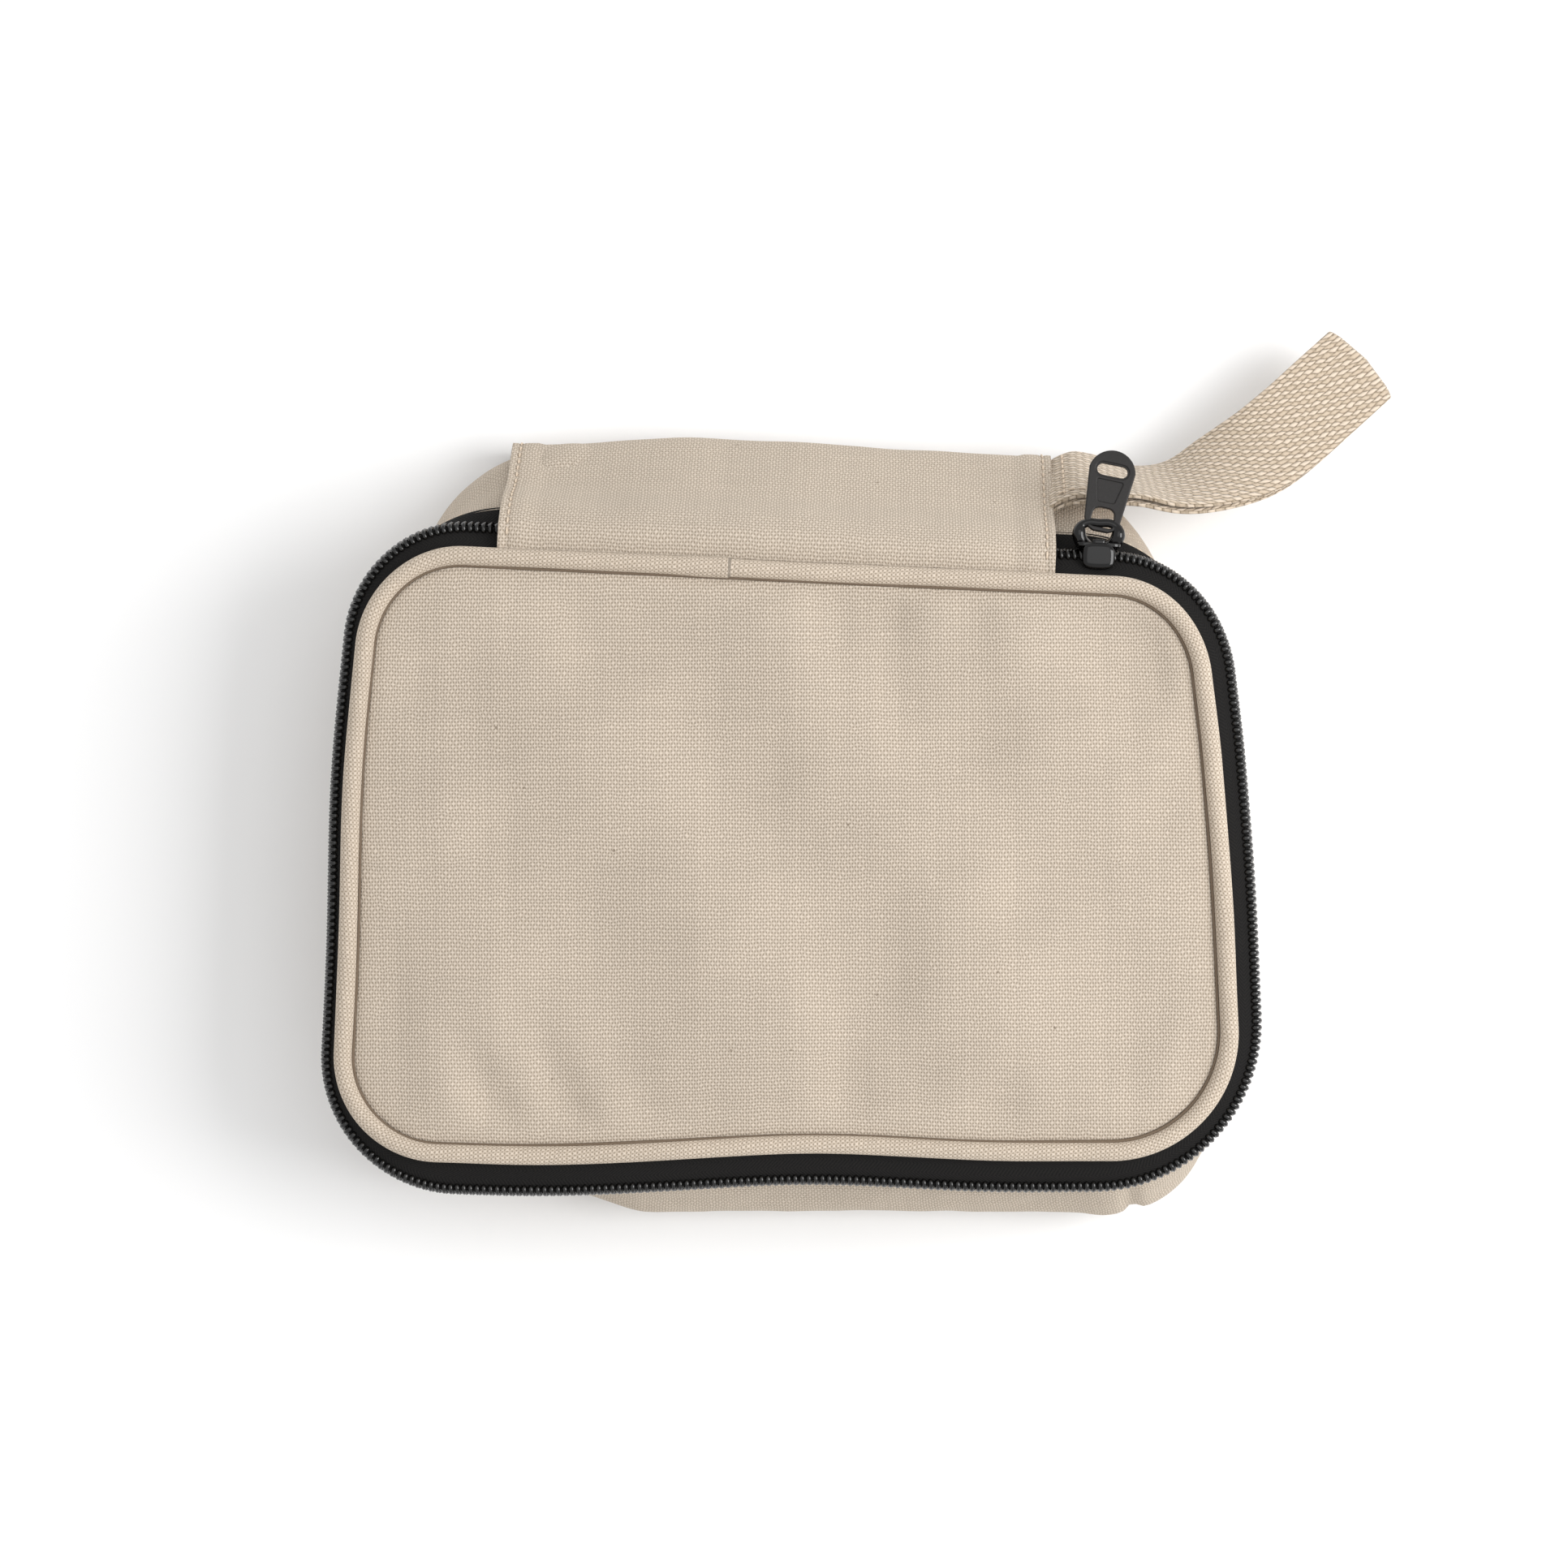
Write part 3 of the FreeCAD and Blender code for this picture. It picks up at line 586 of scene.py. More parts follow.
# Warp-knitted polyester net yarn.
net_yarn = hard_finish("polyester_net", "#c9bfae", "#ddd3c3", 0.4, 0.03, 0.7, 0.1)
# Spun polyester sewing thread, a shade lighter than the canvas.
sewing_thread = hard_finish("sewing_thread", "#cbb9a3", "#dccbb7", 0.3, 0.05, 0.75, 0.1)
# Dark brown of the tube of painted shade that lies in the crease beside the piping, half buried in
# the cloth.
shade_line_brown = hard_finish("painted_crease_shade_brown", "#5d4e3f", "#7a6957", 0.3, 0.05, 0.8, 0.1)


# ---------------------------------------------------------------- canvas pieces
def sheet_grid(insets, radii, columns, rows, crowd=1.0):
    """A square grid stretched to the outline: a grid point lies on the line from the
    centre to the outline's point that its ray meets, as far out as its larger
    coordinate. Crowd above 1 draws the rows closer together at the edge.
    Returns x, y and how far out each point is, from 0 to 1."""
    around = 1600
    line, _, _ = outline(insets, radii, around)
    corners = corner_points(insets)
    near = [int(np.argmin(((line - corners[k]) ** 2).sum(1))) for k in (3, 0, 1, 2)]
    a, b = np.linspace(-1, 1, columns + 1), np.linspace(-1, 1, rows + 1)
    a, b = (np.sign(k) * (1 - (1 - np.abs(k)) ** crowd) for k in (a, b))
    a, b = np.meshgrid(a, b)
    far = np.maximum(np.maximum(np.abs(a), np.abs(b)), 1e-9)
    p, q = a / far, b / far
    side = np.select(
        [p <= -1 + 1e-9, q <= -1 + 1e-9, p >= 1 - 1e-9],
        [(1 - q) / 2, 1 + (p + 1) / 2, 2 + (q + 1) / 2],
        3 + (1 - p) / 2,
    )
    index = np.interp(side, range(5), near + [near[0] + around]) % around
    edge = read(index, np.arange(around + 1), np.append(line, line[:1], axis=0))
    centre = corners.mean(0)
    return centre + far[..., None] * (edge - centre), far


def closed_pad(flat, far, top, bottom):
    """Two sheets over the same grid, heights top and bottom, sharing their border."""
    border = far > 1 - 1e-6
    middle = (top + bottom) / 2
    sheets = [np.dstack([flat, np.where(border, middle, z)]) for z in (top, bottom)]
    faces = grid_faces(*far.shape)
    return (
        np.stack(sheets),
        np.concatenate([faces, faces[:, ::-1] + far.size]),
        np.stack([flat, flat]),
    )


def inflate(piece, held, pressure, most, frames=20):
    """Blows the pad up a little with Cloth and air pressure, gravity off. Points in held
    stay, and no point moves by more than most millimetres. The result is kept."""
    before = get_points(piece.data)
    group = piece.vertex_groups.new(name="held")
    group.add(np.flatnonzero(held).tolist(), 1.0, "REPLACE")
    cloth = piece.modifiers.new("air", "CLOTH")
    cloth.settings.use_pressure = True
    cloth.settings.uniform_pressure_force = pressure
    cloth.settings.vertex_group_mass = "held"
    cloth.settings.effector_weights.gravity = 0
    cloth.point_cache.frame_end = frames
    scene = bpy.context.scene
    for frame_number in range(1, frames + 1):
        scene.frame_set(frame_number)
    graph = bpy.context.evaluated_depsgraph_get()
    moved = get_points(piece.evaluated_get(graph).to_mesh()) - before
    piece.evaluated_get(graph).to_mesh_clear()
    piece.modifiers.clear()
    piece.vertex_groups.clear()
    scene.frame_set(1)
    far = np.linalg.norm(moved, axis=1, keepdims=True)
    moved *= np.minimum(1.0, most * MM / np.maximum(far, 1e-12))
    piece.data.vertices.foreach_set("co", (before + moved).ravel())
    piece.data.update()


# the cover's valleys: x, width, reach from the seam, depth and slant
REAR_VALLEYS = (
    (-47, 5, 22, 0.5), (-33, 4, 15, 0.4), (9, 4, 20, 0.6), (19, 4.5, 28, 0.8),
    (38, 5, 22, 0.4), (62, 6, 18, 0.4),
)  # fmt: skip
FRONT_VALLEYS = (
    (-62, 5, 18, 0.7, 0.5), (-46, 4, 16, 0.8, 0.45), (-30, 5, 13, 0.4, 0.3),
    (12, 5, 17, 0.7, -0.1), (43, 6, 15, 0.4, -0.3),
)  # fmt: skip
VALLEY, MOST_DROP = 3.4, 2.3


def cover_folds(points):
    """The cover isn't quite flat: shallow valleys run down from its rear seam and up
    from its front one, it dips by the rear right corner, and it ripples all over. A
    hyperbolic tangent keeps all of this within 2.3 mm, which the foam leaves room for."""
    x, y, z = points.T
    top = smooth((z - 43.2) / 0.8)
    inside = smooth(np.minimum(86 - np.abs(x), np.minimum(y + 60, 61 - y)) / 9)
    drop = 3.1 * ripple(x, y, 3, 46) + 0.7 * ripple(x, y * 0.6, 5, 16)
    for middle, width, reach, depth in REAR_VALLEYS:
        drop -= VALLEY * depth * bump(x, middle + 0.12 * (61 - y), width) * bump(y, 60, reach)
    for middle, width, reach, depth, slant in FRONT_VALLEYS:
        drop -= VALLEY * depth * bump(x, middle - slant * (y + 55), width) * bump(y, -56, reach)
    drop -= 2.6 * bump(x, 76, 13) * bump(y, 44, 11)
    drop -= 0.5 * bump(x, -84, 6) * bump(y, 40, 14)
    moved = points.copy()
    moved[:, 2] = z + top * inside * MOST_DROP * np.tanh(drop / MOST_DROP)
    return moved


flat, far = sheet_grid(COVER_INSETS + 1.5, COVER_RADII - 1.5, 72, 52, 1.35)
rim = (1 - far**9) ** 0.5
part = closed_pad(flat, far, 42.5 + 2.0 * rim, 42.0 - 0.8 * rim)
cover_pad = closed_piece("cover_pad", part, canvas, 0.005)
spot = get_points(cover_pad.data) / MM
line, _, _ = outline(COVER_INSETS + 1.5, COVER_RADII - 1.5, 800)
reach = np.full(len(spot), 1e9)
for stretch in np.array_split(line, 20):
    reach = np.minimum(reach, np.linalg.norm(spot[:, None, :2] - stretch, axis=-1).min(1))
inflate(cover_pad, (reach < 4.0) | (spot[:, 2] < 42.3), 4.0, 1.3)
reshape(cover_pad, cover_folds)
refine(cover_pad)
reshape(cover_pad, settle)


def ring_at(insets, radii, z, count, gap=None):
    """The outline at one height: points, outward directions and the length walked."""
    line, normals, walked = outline(insets, radii, count, gap)
    points = np.column_stack([line, np.full(count, float(z))])
    return points, np.column_stack([normals, np.zeros(count)]), walked


def round_tube(path, side, radius, columns):
    """A round section carried along a path that lies level, with its own radius at each
    point."""
    return tube(path, side, UP, circle(1, 1, columns) * np.asarray(radius)[:, None, None])


def piping_piece(name, insets, radii, z, radius, count, overlap):
    """Piping is a tube round the outline. Its radius swells and shrinks by a twentieth,
    and beside the overlap, at that x on the spine's side, its end lies over its start
    and makes it thicker."""
    path, side, walked = ring_at(insets, radii, z, count)
    start = int(np.argmin(np.abs(path[:, 0] - overlap) + 1e3 * (path[:, 1] < 0)))
    path, side = np.roll(path, -start, axis=0), np.roll(side, -start, axis=0)
    swell = 1 + 0.035 * ripple(walked, walked * 0, 11, 23) + 0.14 * smooth((14 - walked) / 10)
    fade = smooth(np.minimum(walked, walked[-1] - walked) / 20)[:, None]
    sideways = 0.35 * ripple(walked, walked * 0, 12, 60)[:, None] * side
    upwards = 0.15 * ripple(walked, walked * 0, 13, 40)[:, None] * UP
    part = round_tube(path + fade * (sideways + upwards), side, radius * swell, 16)
    return closed_piece(name, settled(part), bias_canvas)


cover_piping = piping_piece("cover_piping_tube", COVER_INSETS, COVER_RADII, 43.3, 2.0, 900, -13.4)
base_insets, base_radii = WALL[0, :4] + 1.5, WALL[0, 4:8] - 1.5
base_piping = piping_piece("base_piping_tube", base_insets, base_radii, 1.85, 1.5, 620, 30.0)

# a dark brown tube in the crease where the cover's canvas goes under its piping: a thin line of
# painted shade
path, side, walked = ring_at(COVER_INSETS + 2.1, COVER_RADII - 2.1, 43.25, 700)
part = round_tube(path, side, 0.34 + 0.14 * ripple(walked, walked * 0, 14, 45), 6)
crease_shade_line = closed_piece("cover_painted_crease_shade", settled(part), shade_line_brown)


def wall_rows(rows, count, extra=0.0, low=3.3, high=31.0):
    """The wall's outlines at even heights, through its four levels: points, normals and
    the length walked, for each row."""
    levels = hermite(WALL[:, 8], WALL, np.linspace(low, high, rows))
    made = [outline(v[:4] + extra, v[4:8] - extra, count) for v in levels]
    line, normals, walked = (np.stack(m) for m in zip(*made))
    heights = np.linspace(low, high, rows)[:, None]
    return np.dstack([line, np.broadcast_to(heights, walked.shape)]), normals, walked


def wall_folds(points, normals, walked):
    """The wall slumps: long soft folds lie aslant on it, a sharp crease stands at the
    front right corner, it is drawn in a little along its top and bottom seams, and it
    bulges less at its front left than elsewhere."""
    x, y, z = points[..., 0], points[..., 1], points[..., 2]
    free = smooth((z - 4.0) / 4.0) * smooth((30.5 - z) / 5.0)
    out = 0.45 * ripple(walked, z * 1.6, 21, 30) + 0.25 * ripple(walked, z * 2.2, 22, 13)
    out -= 1.5 * bump(x + 0.15 * z, 77.5, 1.6) * (y < -50)
    out += 0.8 * bump(x + 0.1 * z, 70.5, 5.0) * (y < -50)
    out -= 0.8 * bump(x - 0.3 * z, -60, 4.0) * (y < -50)
    out -= 0.7 * bump(y + 0.4 * z, -30, 5) * (x > 60)
    out -= 0.9 * bump(y - 0.3 * z, 20, 4) * (x < -60)
    out -= 4.4 * smooth((-32 - x) / 18) * smooth((-44 - y) / 14)
    moved = points.copy()
    moved[..., :2] += normals * (free * out)[..., None]
    return moved


WALL_ROWS = 30
points, normals, walked = wall_rows(WALL_ROWS, 420)
rise = np.broadcast_to(np.linspace(0, 34.0, WALL_ROWS)[:, None], walked.shape)
uv = np.dstack([walked / walked[:, -1:] * walked[WALL_ROWS // 2, -1], rise])
part = wall_folds(points, normals, walked), grid_faces(*walked.shape, False, True), uv
wall = thicken(outward(make_piece("side_wall_canvas", settled(part), canvas)), 1.1)

# spine band: a strip of canvas from the cover's rear seam down to the bottom
BAND_LINE = (
    (-6.5, 42.5), (-1.2, 42.2), (2.3, 39.2), (8.0, 29.7),
    (16.0, 19.6), (21.6, 11.0), (20.6, 4.4), (17.0, 0.7),
)  # fmt: skip
BAND_ROWS = 56
profile = through([(v, z, 0.0) for v, z in BAND_LINE], BAND_ROWS)[:, :2]
along = unit(np.gradient(profile, axis=0))
across = np.stack([-along[:, 1], along[:, 0]], axis=1)
hem_edge = np.linspace(0, 3.2, 9)
edge = np.concatenate([hem_edge, np.linspace(4.2, BAND_WIDE - 4.2, 74), BAND_WIDE - hem_edge[::-1]])
inner = np.minimum(edge, BAND_WIDE - edge)
hem = 0.45 * smooth((6.5 - inner) / 1.0) - 0.3 * bump(inner, 1.9, 0.5)
grid_u, grid_k = np.meshgrid(BAND_LEFT + edge, np.arange(BAND_ROWS))
free = smooth(grid_k / 8.0) * smooth((BAND_ROWS - 1 - grid_k) / 6.0)
wave = 0.9 * bump(grid_u, -8, 32)
wave -= 2.6 * smooth((-22 - grid_u) / 40) * smooth((grid_k - 16) / 12)
wave += 0.22 * ripple(grid_u, profile[grid_k, 1] * 1.3, 31, 26)
wave += 0.12 * ripple(grid_u, profile[grid_k, 1], 32, 11)
vz = profile[grid_k] + across[grid_k] * (hem[None] + free * wave)[..., None]
points = spine_point(grid_u, vz[..., 0], vz[..., 1])
uv = np.dstack([grid_u, np.broadcast_to(-walk(profile)[:, None], grid_u.shape)])
part = settled((points, grid_faces(*grid_u.shape), uv))
band = make_piece("spine_band_canvas", part, canvas)
if band.data.polygons[len(band.data.polygons) // 2].normal.y < 0:
    band.data.flip_normals()
thicken(band, 1.0)


def stitches(line, facing, pitch, length, radius):
    """A row of stitches along a line of points: each is a small spindle whose ends dive
    into the cloth. The spindle's section shrinks with the root of 1 - t squared."""
    walked = walk(line)
    middles = np.arange(pitch / 2, walked[-1], pitch)
    t = np.linspace(-1, 1, 7)
    at = np.clip(middles[:, None] + t[None] * length / 2, 0, walked[-1])
    spot, face = read(at, walked, line), unit(read(at, walked, facing))
    side = unit(np.cross(face, unit(np.gradient(spot, axis=1))))
    thin = np.sqrt(np.maximum(1 - t**2, 0.0))[None, :, None, None] * radius
    spot = spot + face * (radius * (0.9 - 1.1 * t**2))[None, :, None]
    ring = circle(1, 1, 6)
    turned = ring[:, :1] * side[:, :, None] + ring[:, 1:] * face[:, :, None]
    points = spot[:, :, None] + thin * turned
    faces = repeated(grid_faces(7, 6, False, True), len(middles), 7 * 6)
    return points, faces, np.zeros(points.shape[:-1] + (2,))


def stitch_piece(name, rows):
    """One piece from several rows of stitches."""
    return closed_piece(name, join_parts(rows), sewing_thread, 0.002)


# two rows of stitches hold the band's folded hems
rows = []
k = np.arange(3, BAND_ROWS - 2)
for edge_u in (BAND_LEFT + 1.9, BAND_RIGHT - 1.9):
    column = int(np.argmin(np.abs(BAND_LEFT + edge - edge_u)))
    v, z = (vz[k, column] + across[k] * 0.12).T
    line = settle(spine_point(edge_u, v, z))
    facing = spine_way(0.0, *across[k].T)
    rows.append(stitches(line, facing, STITCH_PITCH, STITCH_LONG, 0.22))
band_stitches = stitch_piece("spine_band_stitches", rows)

# bottom: a flat padded panel inside its piping
flat, far = sheet_grid(base_insets + 1.3, base_radii - 1.3, 48, 34, 1.3)
rim = (1 - far**9) ** 0.5
low = 1 + ripple(flat[..., 0], flat[..., 1], 41, 40)
low = 0.9 - 0.86 * rim + 0.12 * low * rim * (far < 0.95)
part = closed_pad(flat, far, 1.8 + 1.2 * rim, low)
base_pad = refine(closed_piece("base_pad", part, canvas, 0.005))


# ---------------------------------------------------------------- zip
# the walk round the zip starts at the spine's middle, and leaves out what the band hides
ZIP_GAP = (52.5, 46.5)
# how far each coil lies in from the zip's outline, and its height
UPPER_COIL, LOWER_COIL = (1.75, 38.25), (1.35, 34.75)
# a coil's turns: their distance, half width and half height, and the wire's radius
COIL_PITCH, COIL_WIDE, COIL_HIGH, WIRE = 1.45, 0.95, 1.25, 0.56


def rail(inset, z, count):
    """A line of the zip, its outward sides, and the length walked."""
    return ring_at(inset, ZIP_RADII - inset, z, count, ZIP_GAP)


def zip_coil(name, coil, lean, start):
    """One side of a coil zip: a nylon wire wound round the edge of the tape. Each turn
    is an ellipse, and the wire's own round section is carried along it, with its side
    pointing away from the coil's line. Lean shifts a turn's outer half along the zip."""
    per_turn = 11
    base, sides, walked = rail(*coil, 1200)
    turns = int((walked[-1] - walked[0]) / COIL_PITCH)
    phase = np.arange(turns * per_turn) * math.tau / per_turn
    at = walked[0] + start + COIL_PITCH * (phase / math.tau + 0.25 * lean * np.cos(phase))
    side = unit(read(at, walked, sides))
    away = COIL_WIDE * np.cos(phase)[:, None] * side + COIL_HIGH * np.sin(phase)[:, None] * UP
    path = read(at, walked, base) + away
    forward = unit(np.gradient(path, axis=0))
    out = unit(away - (away * forward).sum(1, keepdims=True) * forward)
    part = tube(path, out, np.cross(forward, out), circle(WIRE, WIRE, 6), closed=False)
    return closed_piece(name, settled(part), coil_nylon)


def zip_core(name, coil):
    """The filler yarn that the coil is wound round, a thin oval rod."""
    base, sides, _ = rail(*coil, 700)
    part = tube(base, sides, UP, circle(0.6, 0.95, 8), closed=False)
    return closed_piece(name, settled(part), tape_cloth)


upper_coil = zip_coil("zip_coil_upper_turns", UPPER_COIL, 1.0, 0.0)
lower_coil = zip_coil("zip_coil_lower_turns", LOWER_COIL, -1.0, 0.72)
upper_core = zip_core("zip_yarn_upper", UPPER_COIL)
lower_core = zip_core("zip_yarn_lower", LOWER_COIL)


def tape_piece(name, first, last, belly):
    """Zip tape: a strip between two lines that run side by side round the case. Its rows
    follow a parabola that lies above the straight way by belly in the middle, and it
    ripples by a tenth of a millimetre."""
    t = np.linspace(0, 1, 9)[:, None, None]
    middle = (first + last) / 2 + belly * UP
    rows = first * (1 - t) * (1 - 2 * t) + middle * 4 * t * (1 - t) + last * t * (2 * t - 1)
    loose = np.array([0, 0.5, 1, 1, 1, 1, 1, 0.5, 0])[:, None]
    rows[..., 2] += 0.12 * ripple(rows[..., 0], rows[..., 1], 51, 19) * loose
    across = walk(rows)
    uv = np.dstack([np.broadcast_to(walk(rows[0]), across.shape), across])
    part = settled((rows, grid_faces(*across.shape), uv))
    return thicken(make_piece(name, part, tape_cloth), 0.6, 0.0)


def level_line(insets, radii, z, count, extra):
    """A level line that runs beside the zip, moved in by extra."""
    return ring_at(insets + extra, radii - extra, z, count, ZIP_GAP)[0]


wall_insets, wall_radii = WALL[-1, :4], WALL[-1, 4:8]
cover_edge = level_line(COVER_INSETS, COVER_RADII, 41.35, 800, 0.2)
upper_tape = tape_piece("zip_tape_upper_strip", rail(2.3, 38.9, 800)[0], cover_edge, 0.35)
wall_edge = level_line(wall_insets, wall_radii, 30.3, 800, -0.25)
lower_tape = tape_piece("zip_tape_lower_strip", wall_edge, rail(2.1, 34.0, 800)[0], 0.25)

# the row of stitches that holds the wall's top edge to the tape
line = level_line(wall_insets, wall_radii, 29.0, 900, -0.55)
row = stitches(settle(line), rail(0.0, 0.0, 900)[1], STITCH_PITCH, STITCH_LONG, 0.2)
wall_stitches = stitch_piece("side_wall_stitches", [row])

# pressed metal stops at the two ends of the lower coil: a rounded bar over the coil
parts = []
t = np.linspace(-1, 1, 9)
bar = circle(1.35, 1.35, 14, 0.7, 0.7) * ((1 - t**6) ** 0.5)[:, None, None]
for stop_u in (BAND_LEFT + 11.3, BAND_RIGHT - 11.5):
    path = spine_point(stop_u + 1.15 * t, -1.6, 34.5)
    parts.append(tube(path, spine_way(0, 1, 0), UP, bar, closed=False))
end_stops = closed_piece("zip_end_stop_bars", join_parts(parts), stop_metal)


# ---------------------------------------------------------------- slider and pull
SLIDER_LONG = 9.5
SLIDER_MIDDLE = 61.0 + SLIDER_LONG / 2
CROWN_V, CROWN_Z = 5.55, (33.7 + 41.0) / 2 + 1.2


def flat_plate(name, loops, thickness, rounding, material):
    """A plate cut to closed outlines of x, y points in millimetres, the first one outside
    and the others holes, with its edges rounded. It lies in its own plane at height 0."""
    drawn = bpy.data.curves.new(name, "CURVE")
    drawn.dimensions, drawn.fill_mode = "2D", "BOTH"
    drawn.extrude = (thickness / 2 - rounding) * MM
    drawn.bevel_depth, drawn.bevel_resolution = rounding * MM, 3
    for loop in loops:
        line = drawn.splines.new("POLY")
        line.points.add(len(loop) - 1)
        flat = np.column_stack([loop * MM, np.zeros(len(loop)), np.ones(len(loop))])
        line.points.foreach_set("co", flat.ravel())
        line.use_cyclic_u = True
    drawn.offset = -rounding * MM
    holder = add_object(name, drawn)
    graph = bpy.context.evaluated_depsgraph_get()
    mesh = bpy.data.meshes.new_from_object(holder.evaluated_get(graph))
    bpy.data.objects.remove(holder)
    mesh.materials.clear()
    mesh.materials.append(material)
    mesh.polygons.foreach_set("use_smooth", np.zeros(len(mesh.polygons), bool))
    return merge_close(add_object(name, mesh), 0.002)


def pill(cx, cy, long, wide, count=12):
    """An obround: two half circles a distance apart."""
    a = np.linspace(-math.pi / 2, math.pi / 2, count)
    half, r = (long - wide) / 2, wide / 2
    right = np.column_stack([cx + half + r * np.cos(a), cy + r * np.sin(a)])
    left = np.column_stack([cx - half - r * np.cos(a), cy - r * np.sin(a)])
    return np.concatenate([right, left])


def rounded_loop(points, radii, count=9):
    """A polygon whose corners are rounded by a quadratic curve through each corner."""
    points = np.asarray(points, float)
    r = np.asarray(radii, float)[:, None]
    a = points + unit(np.roll(points, 1, axis=0) - points) * r
    b = points + unit(np.roll(points, -1, axis=0) - points) * r
    a, b, points = a[:, None], b[:, None], points[:, None]
    t = np.linspace(0, 1, count)[None, :, None]
    return ((1 - t) ** 2 * a + 2 * t * (1 - t) * points + t**2 * b).reshape(-1, 2)


def pull_outline(shrink):
    """The tab: narrow at the crown, wider towards its round tip. Shrink moves it inwards."""
    a = np.linspace(0.16, math.pi - 0.16, 21)
    r = 5.1 - shrink
    tip = np.column_stack([r * np.cos(a), 10.9 + r * np.sin(a)])
    root = shrink - 1.9
    left = [(shrink - 3.9, 0.6), (shrink - 3.2, shrink - 1.1), (-1.6, root)]
    return np.concatenate([tip, left, [(-x, y) for x, y in left[::-1]]])


slot = pill(0, 11.6, 6.6, 2.5)[::-1]
slot_rim = pill(0, 11.6, 7.2, 3.1)[::-1]
eye_hole = [(-2.5, -0.95), (2.5, -0.95), (2.3, 3.3), (-2.3, 3.3)]
eye_hole = rounded_loop(eye_hole, (0.9, 0.9, 1.7, 1.7))[::-1]
panel = [(-1.75, 4.6), (1.75, 4.6), (2.85, 9.3), (-2.85, 9.3)]
panel = rounded_loop(panel, (0.4, 0.4, 0.5, 0.5), 6)[::-1]
core_loops = [pull_outline(0.25), slot, eye_hole]
rim_loops = [pull_outline(0.0), slot_rim, eye_hole, panel]
tab_parts = [
    flat_plate("tab_core", core_loops, 0.9, 0.12, satin_enamel),
    flat_plate("tab_rim", rim_loops, 1.36, 0.28, satin_enamel),
]


def join_objects(name, objects):
    """Several mesh objects made one, with their own materials kept."""
    whole = bmesh.new()
    mesh = bpy.data.meshes.new(name)
    for index, thing in enumerate(objects):
        old = thing.data
        mesh.materials.append(old.materials[0])
        which = np.full(len(old.polygons), index, np.int32)
        old.polygons.foreach_set("material_index", which)
        whole.from_mesh(old)
        bpy.data.objects.remove(thing)
        bpy.data.meshes.remove(old)
    whole.to_mesh(mesh)
    whole.free()
    return add_object(name, mesh)


def turned(a, b, degrees):
    """Two coordinates after a turn: a cos - b sin and a sin + b cos."""
    c, s = math.cos(math.radians(degrees)), math.sin(math.radians(degrees))
    return a * c - b * s, a * s + b * c


def lay_pull(points):
    """Turns the flat tab: it leans to the right, droops, and hangs on the crown's bar."""
    x, y, z = points.T
    x, y = turned(x, y, -9.5)
    y, z = turned(y, z, -6.0)
    return spine_point(SLIDER_MIDDLE + 0.5 + x, CROWN_V + y, CROWN_Z + z)


pull = reshape(join_objects("pull_tab_enamelled", tab_parts), lay_pull)


def block_shell(centre, half, power, count=20):
    """A rounded block: a sphere whose directions are pushed out to a superellipsoid with
    the given half sizes, square edged for a small power. Poles are closed by one point."""
    a = np.linspace(-math.pi / 2, math.pi / 2, count)
    b = np.linspace(0, math.tau, 2 * count, endpoint=False)
    a, b = np.meshgrid(a, b, indexing="ij")
    parts = np.stack([np.cos(a), np.sin(a), np.cos(b), np.sin(b)])
    c, s, c2, s2 = np.sign(parts) * np.abs(parts) ** power
    u, v, z = (way * h + m for way, h, m in zip((c * c2, c * s2, s), half, centre))
    faces = grid_faces(count, 2 * count, False, True)
    return spine_point(SLIDER_MIDDLE + u, v, z), faces, np.zeros(a.shape + (2,))


# the crown is a bent wire from the outer plate out to its bar and back
HALF_SPAN = 4.2
leg = [
    (-2.6, 0.8, -1.6),
    (-3.6, 1.6, -0.5),
    (-HALF_SPAN, 3.2, 0.0),
    (-HALF_SPAN + 0.5, 4.9, 0.0),
    (-HALF_SPAN + 1.8, CROWN_V, 0.0),
]
wire = leg + [(0.0, CROWN_V, 0.0)] + [(-u, v, z) for u, v, z in leg[::-1]]
wire = through(wire, 64) + (SLIDER_MIDDLE, 0.0, CROWN_Z)
share = np.abs(np.linspace(-1, 1, len(wire)))
thick = 0.92 + 0.6 * smooth((share - 0.35) / 0.3)
wire = spine_point(*wire.T)
forward = unit(np.gradient(wire, axis=0))
up = unit(UP - forward * forward[:, 2:])
section = circle(1, 1, 14) * thick[:, None, None]
slider_parts = [tube(wire, np.cross(forward, up), up, section, closed=False)]
# the outer and inner plates, the bridge over them, its rib, and the crown's post
half_long = SLIDER_LONG / 2
for centre, half, power in (
    ((0.0, 0.8, 37.3), (half_long, 0.56, 3.6), 0.35),
    ((0.0, -4.4, 36.2), (half_long, 0.5, 2.5), 0.35),
    ((0.0, -1.75, 40.9), (half_long - 1.3, 2.8, 0.85), 0.62),
    ((-2.2, -1.4, 40.2), (1.0, 2.2, 1.1), 0.5),
    ((0.0, 1.3, 39.3), (1.5, 0.75, 1.5), 0.5),
):
    slider_parts.append(block_shell(centre, half, power))
slider = closed_piece("slider_enamelled", join_parts(slider_parts), gloss_enamel)


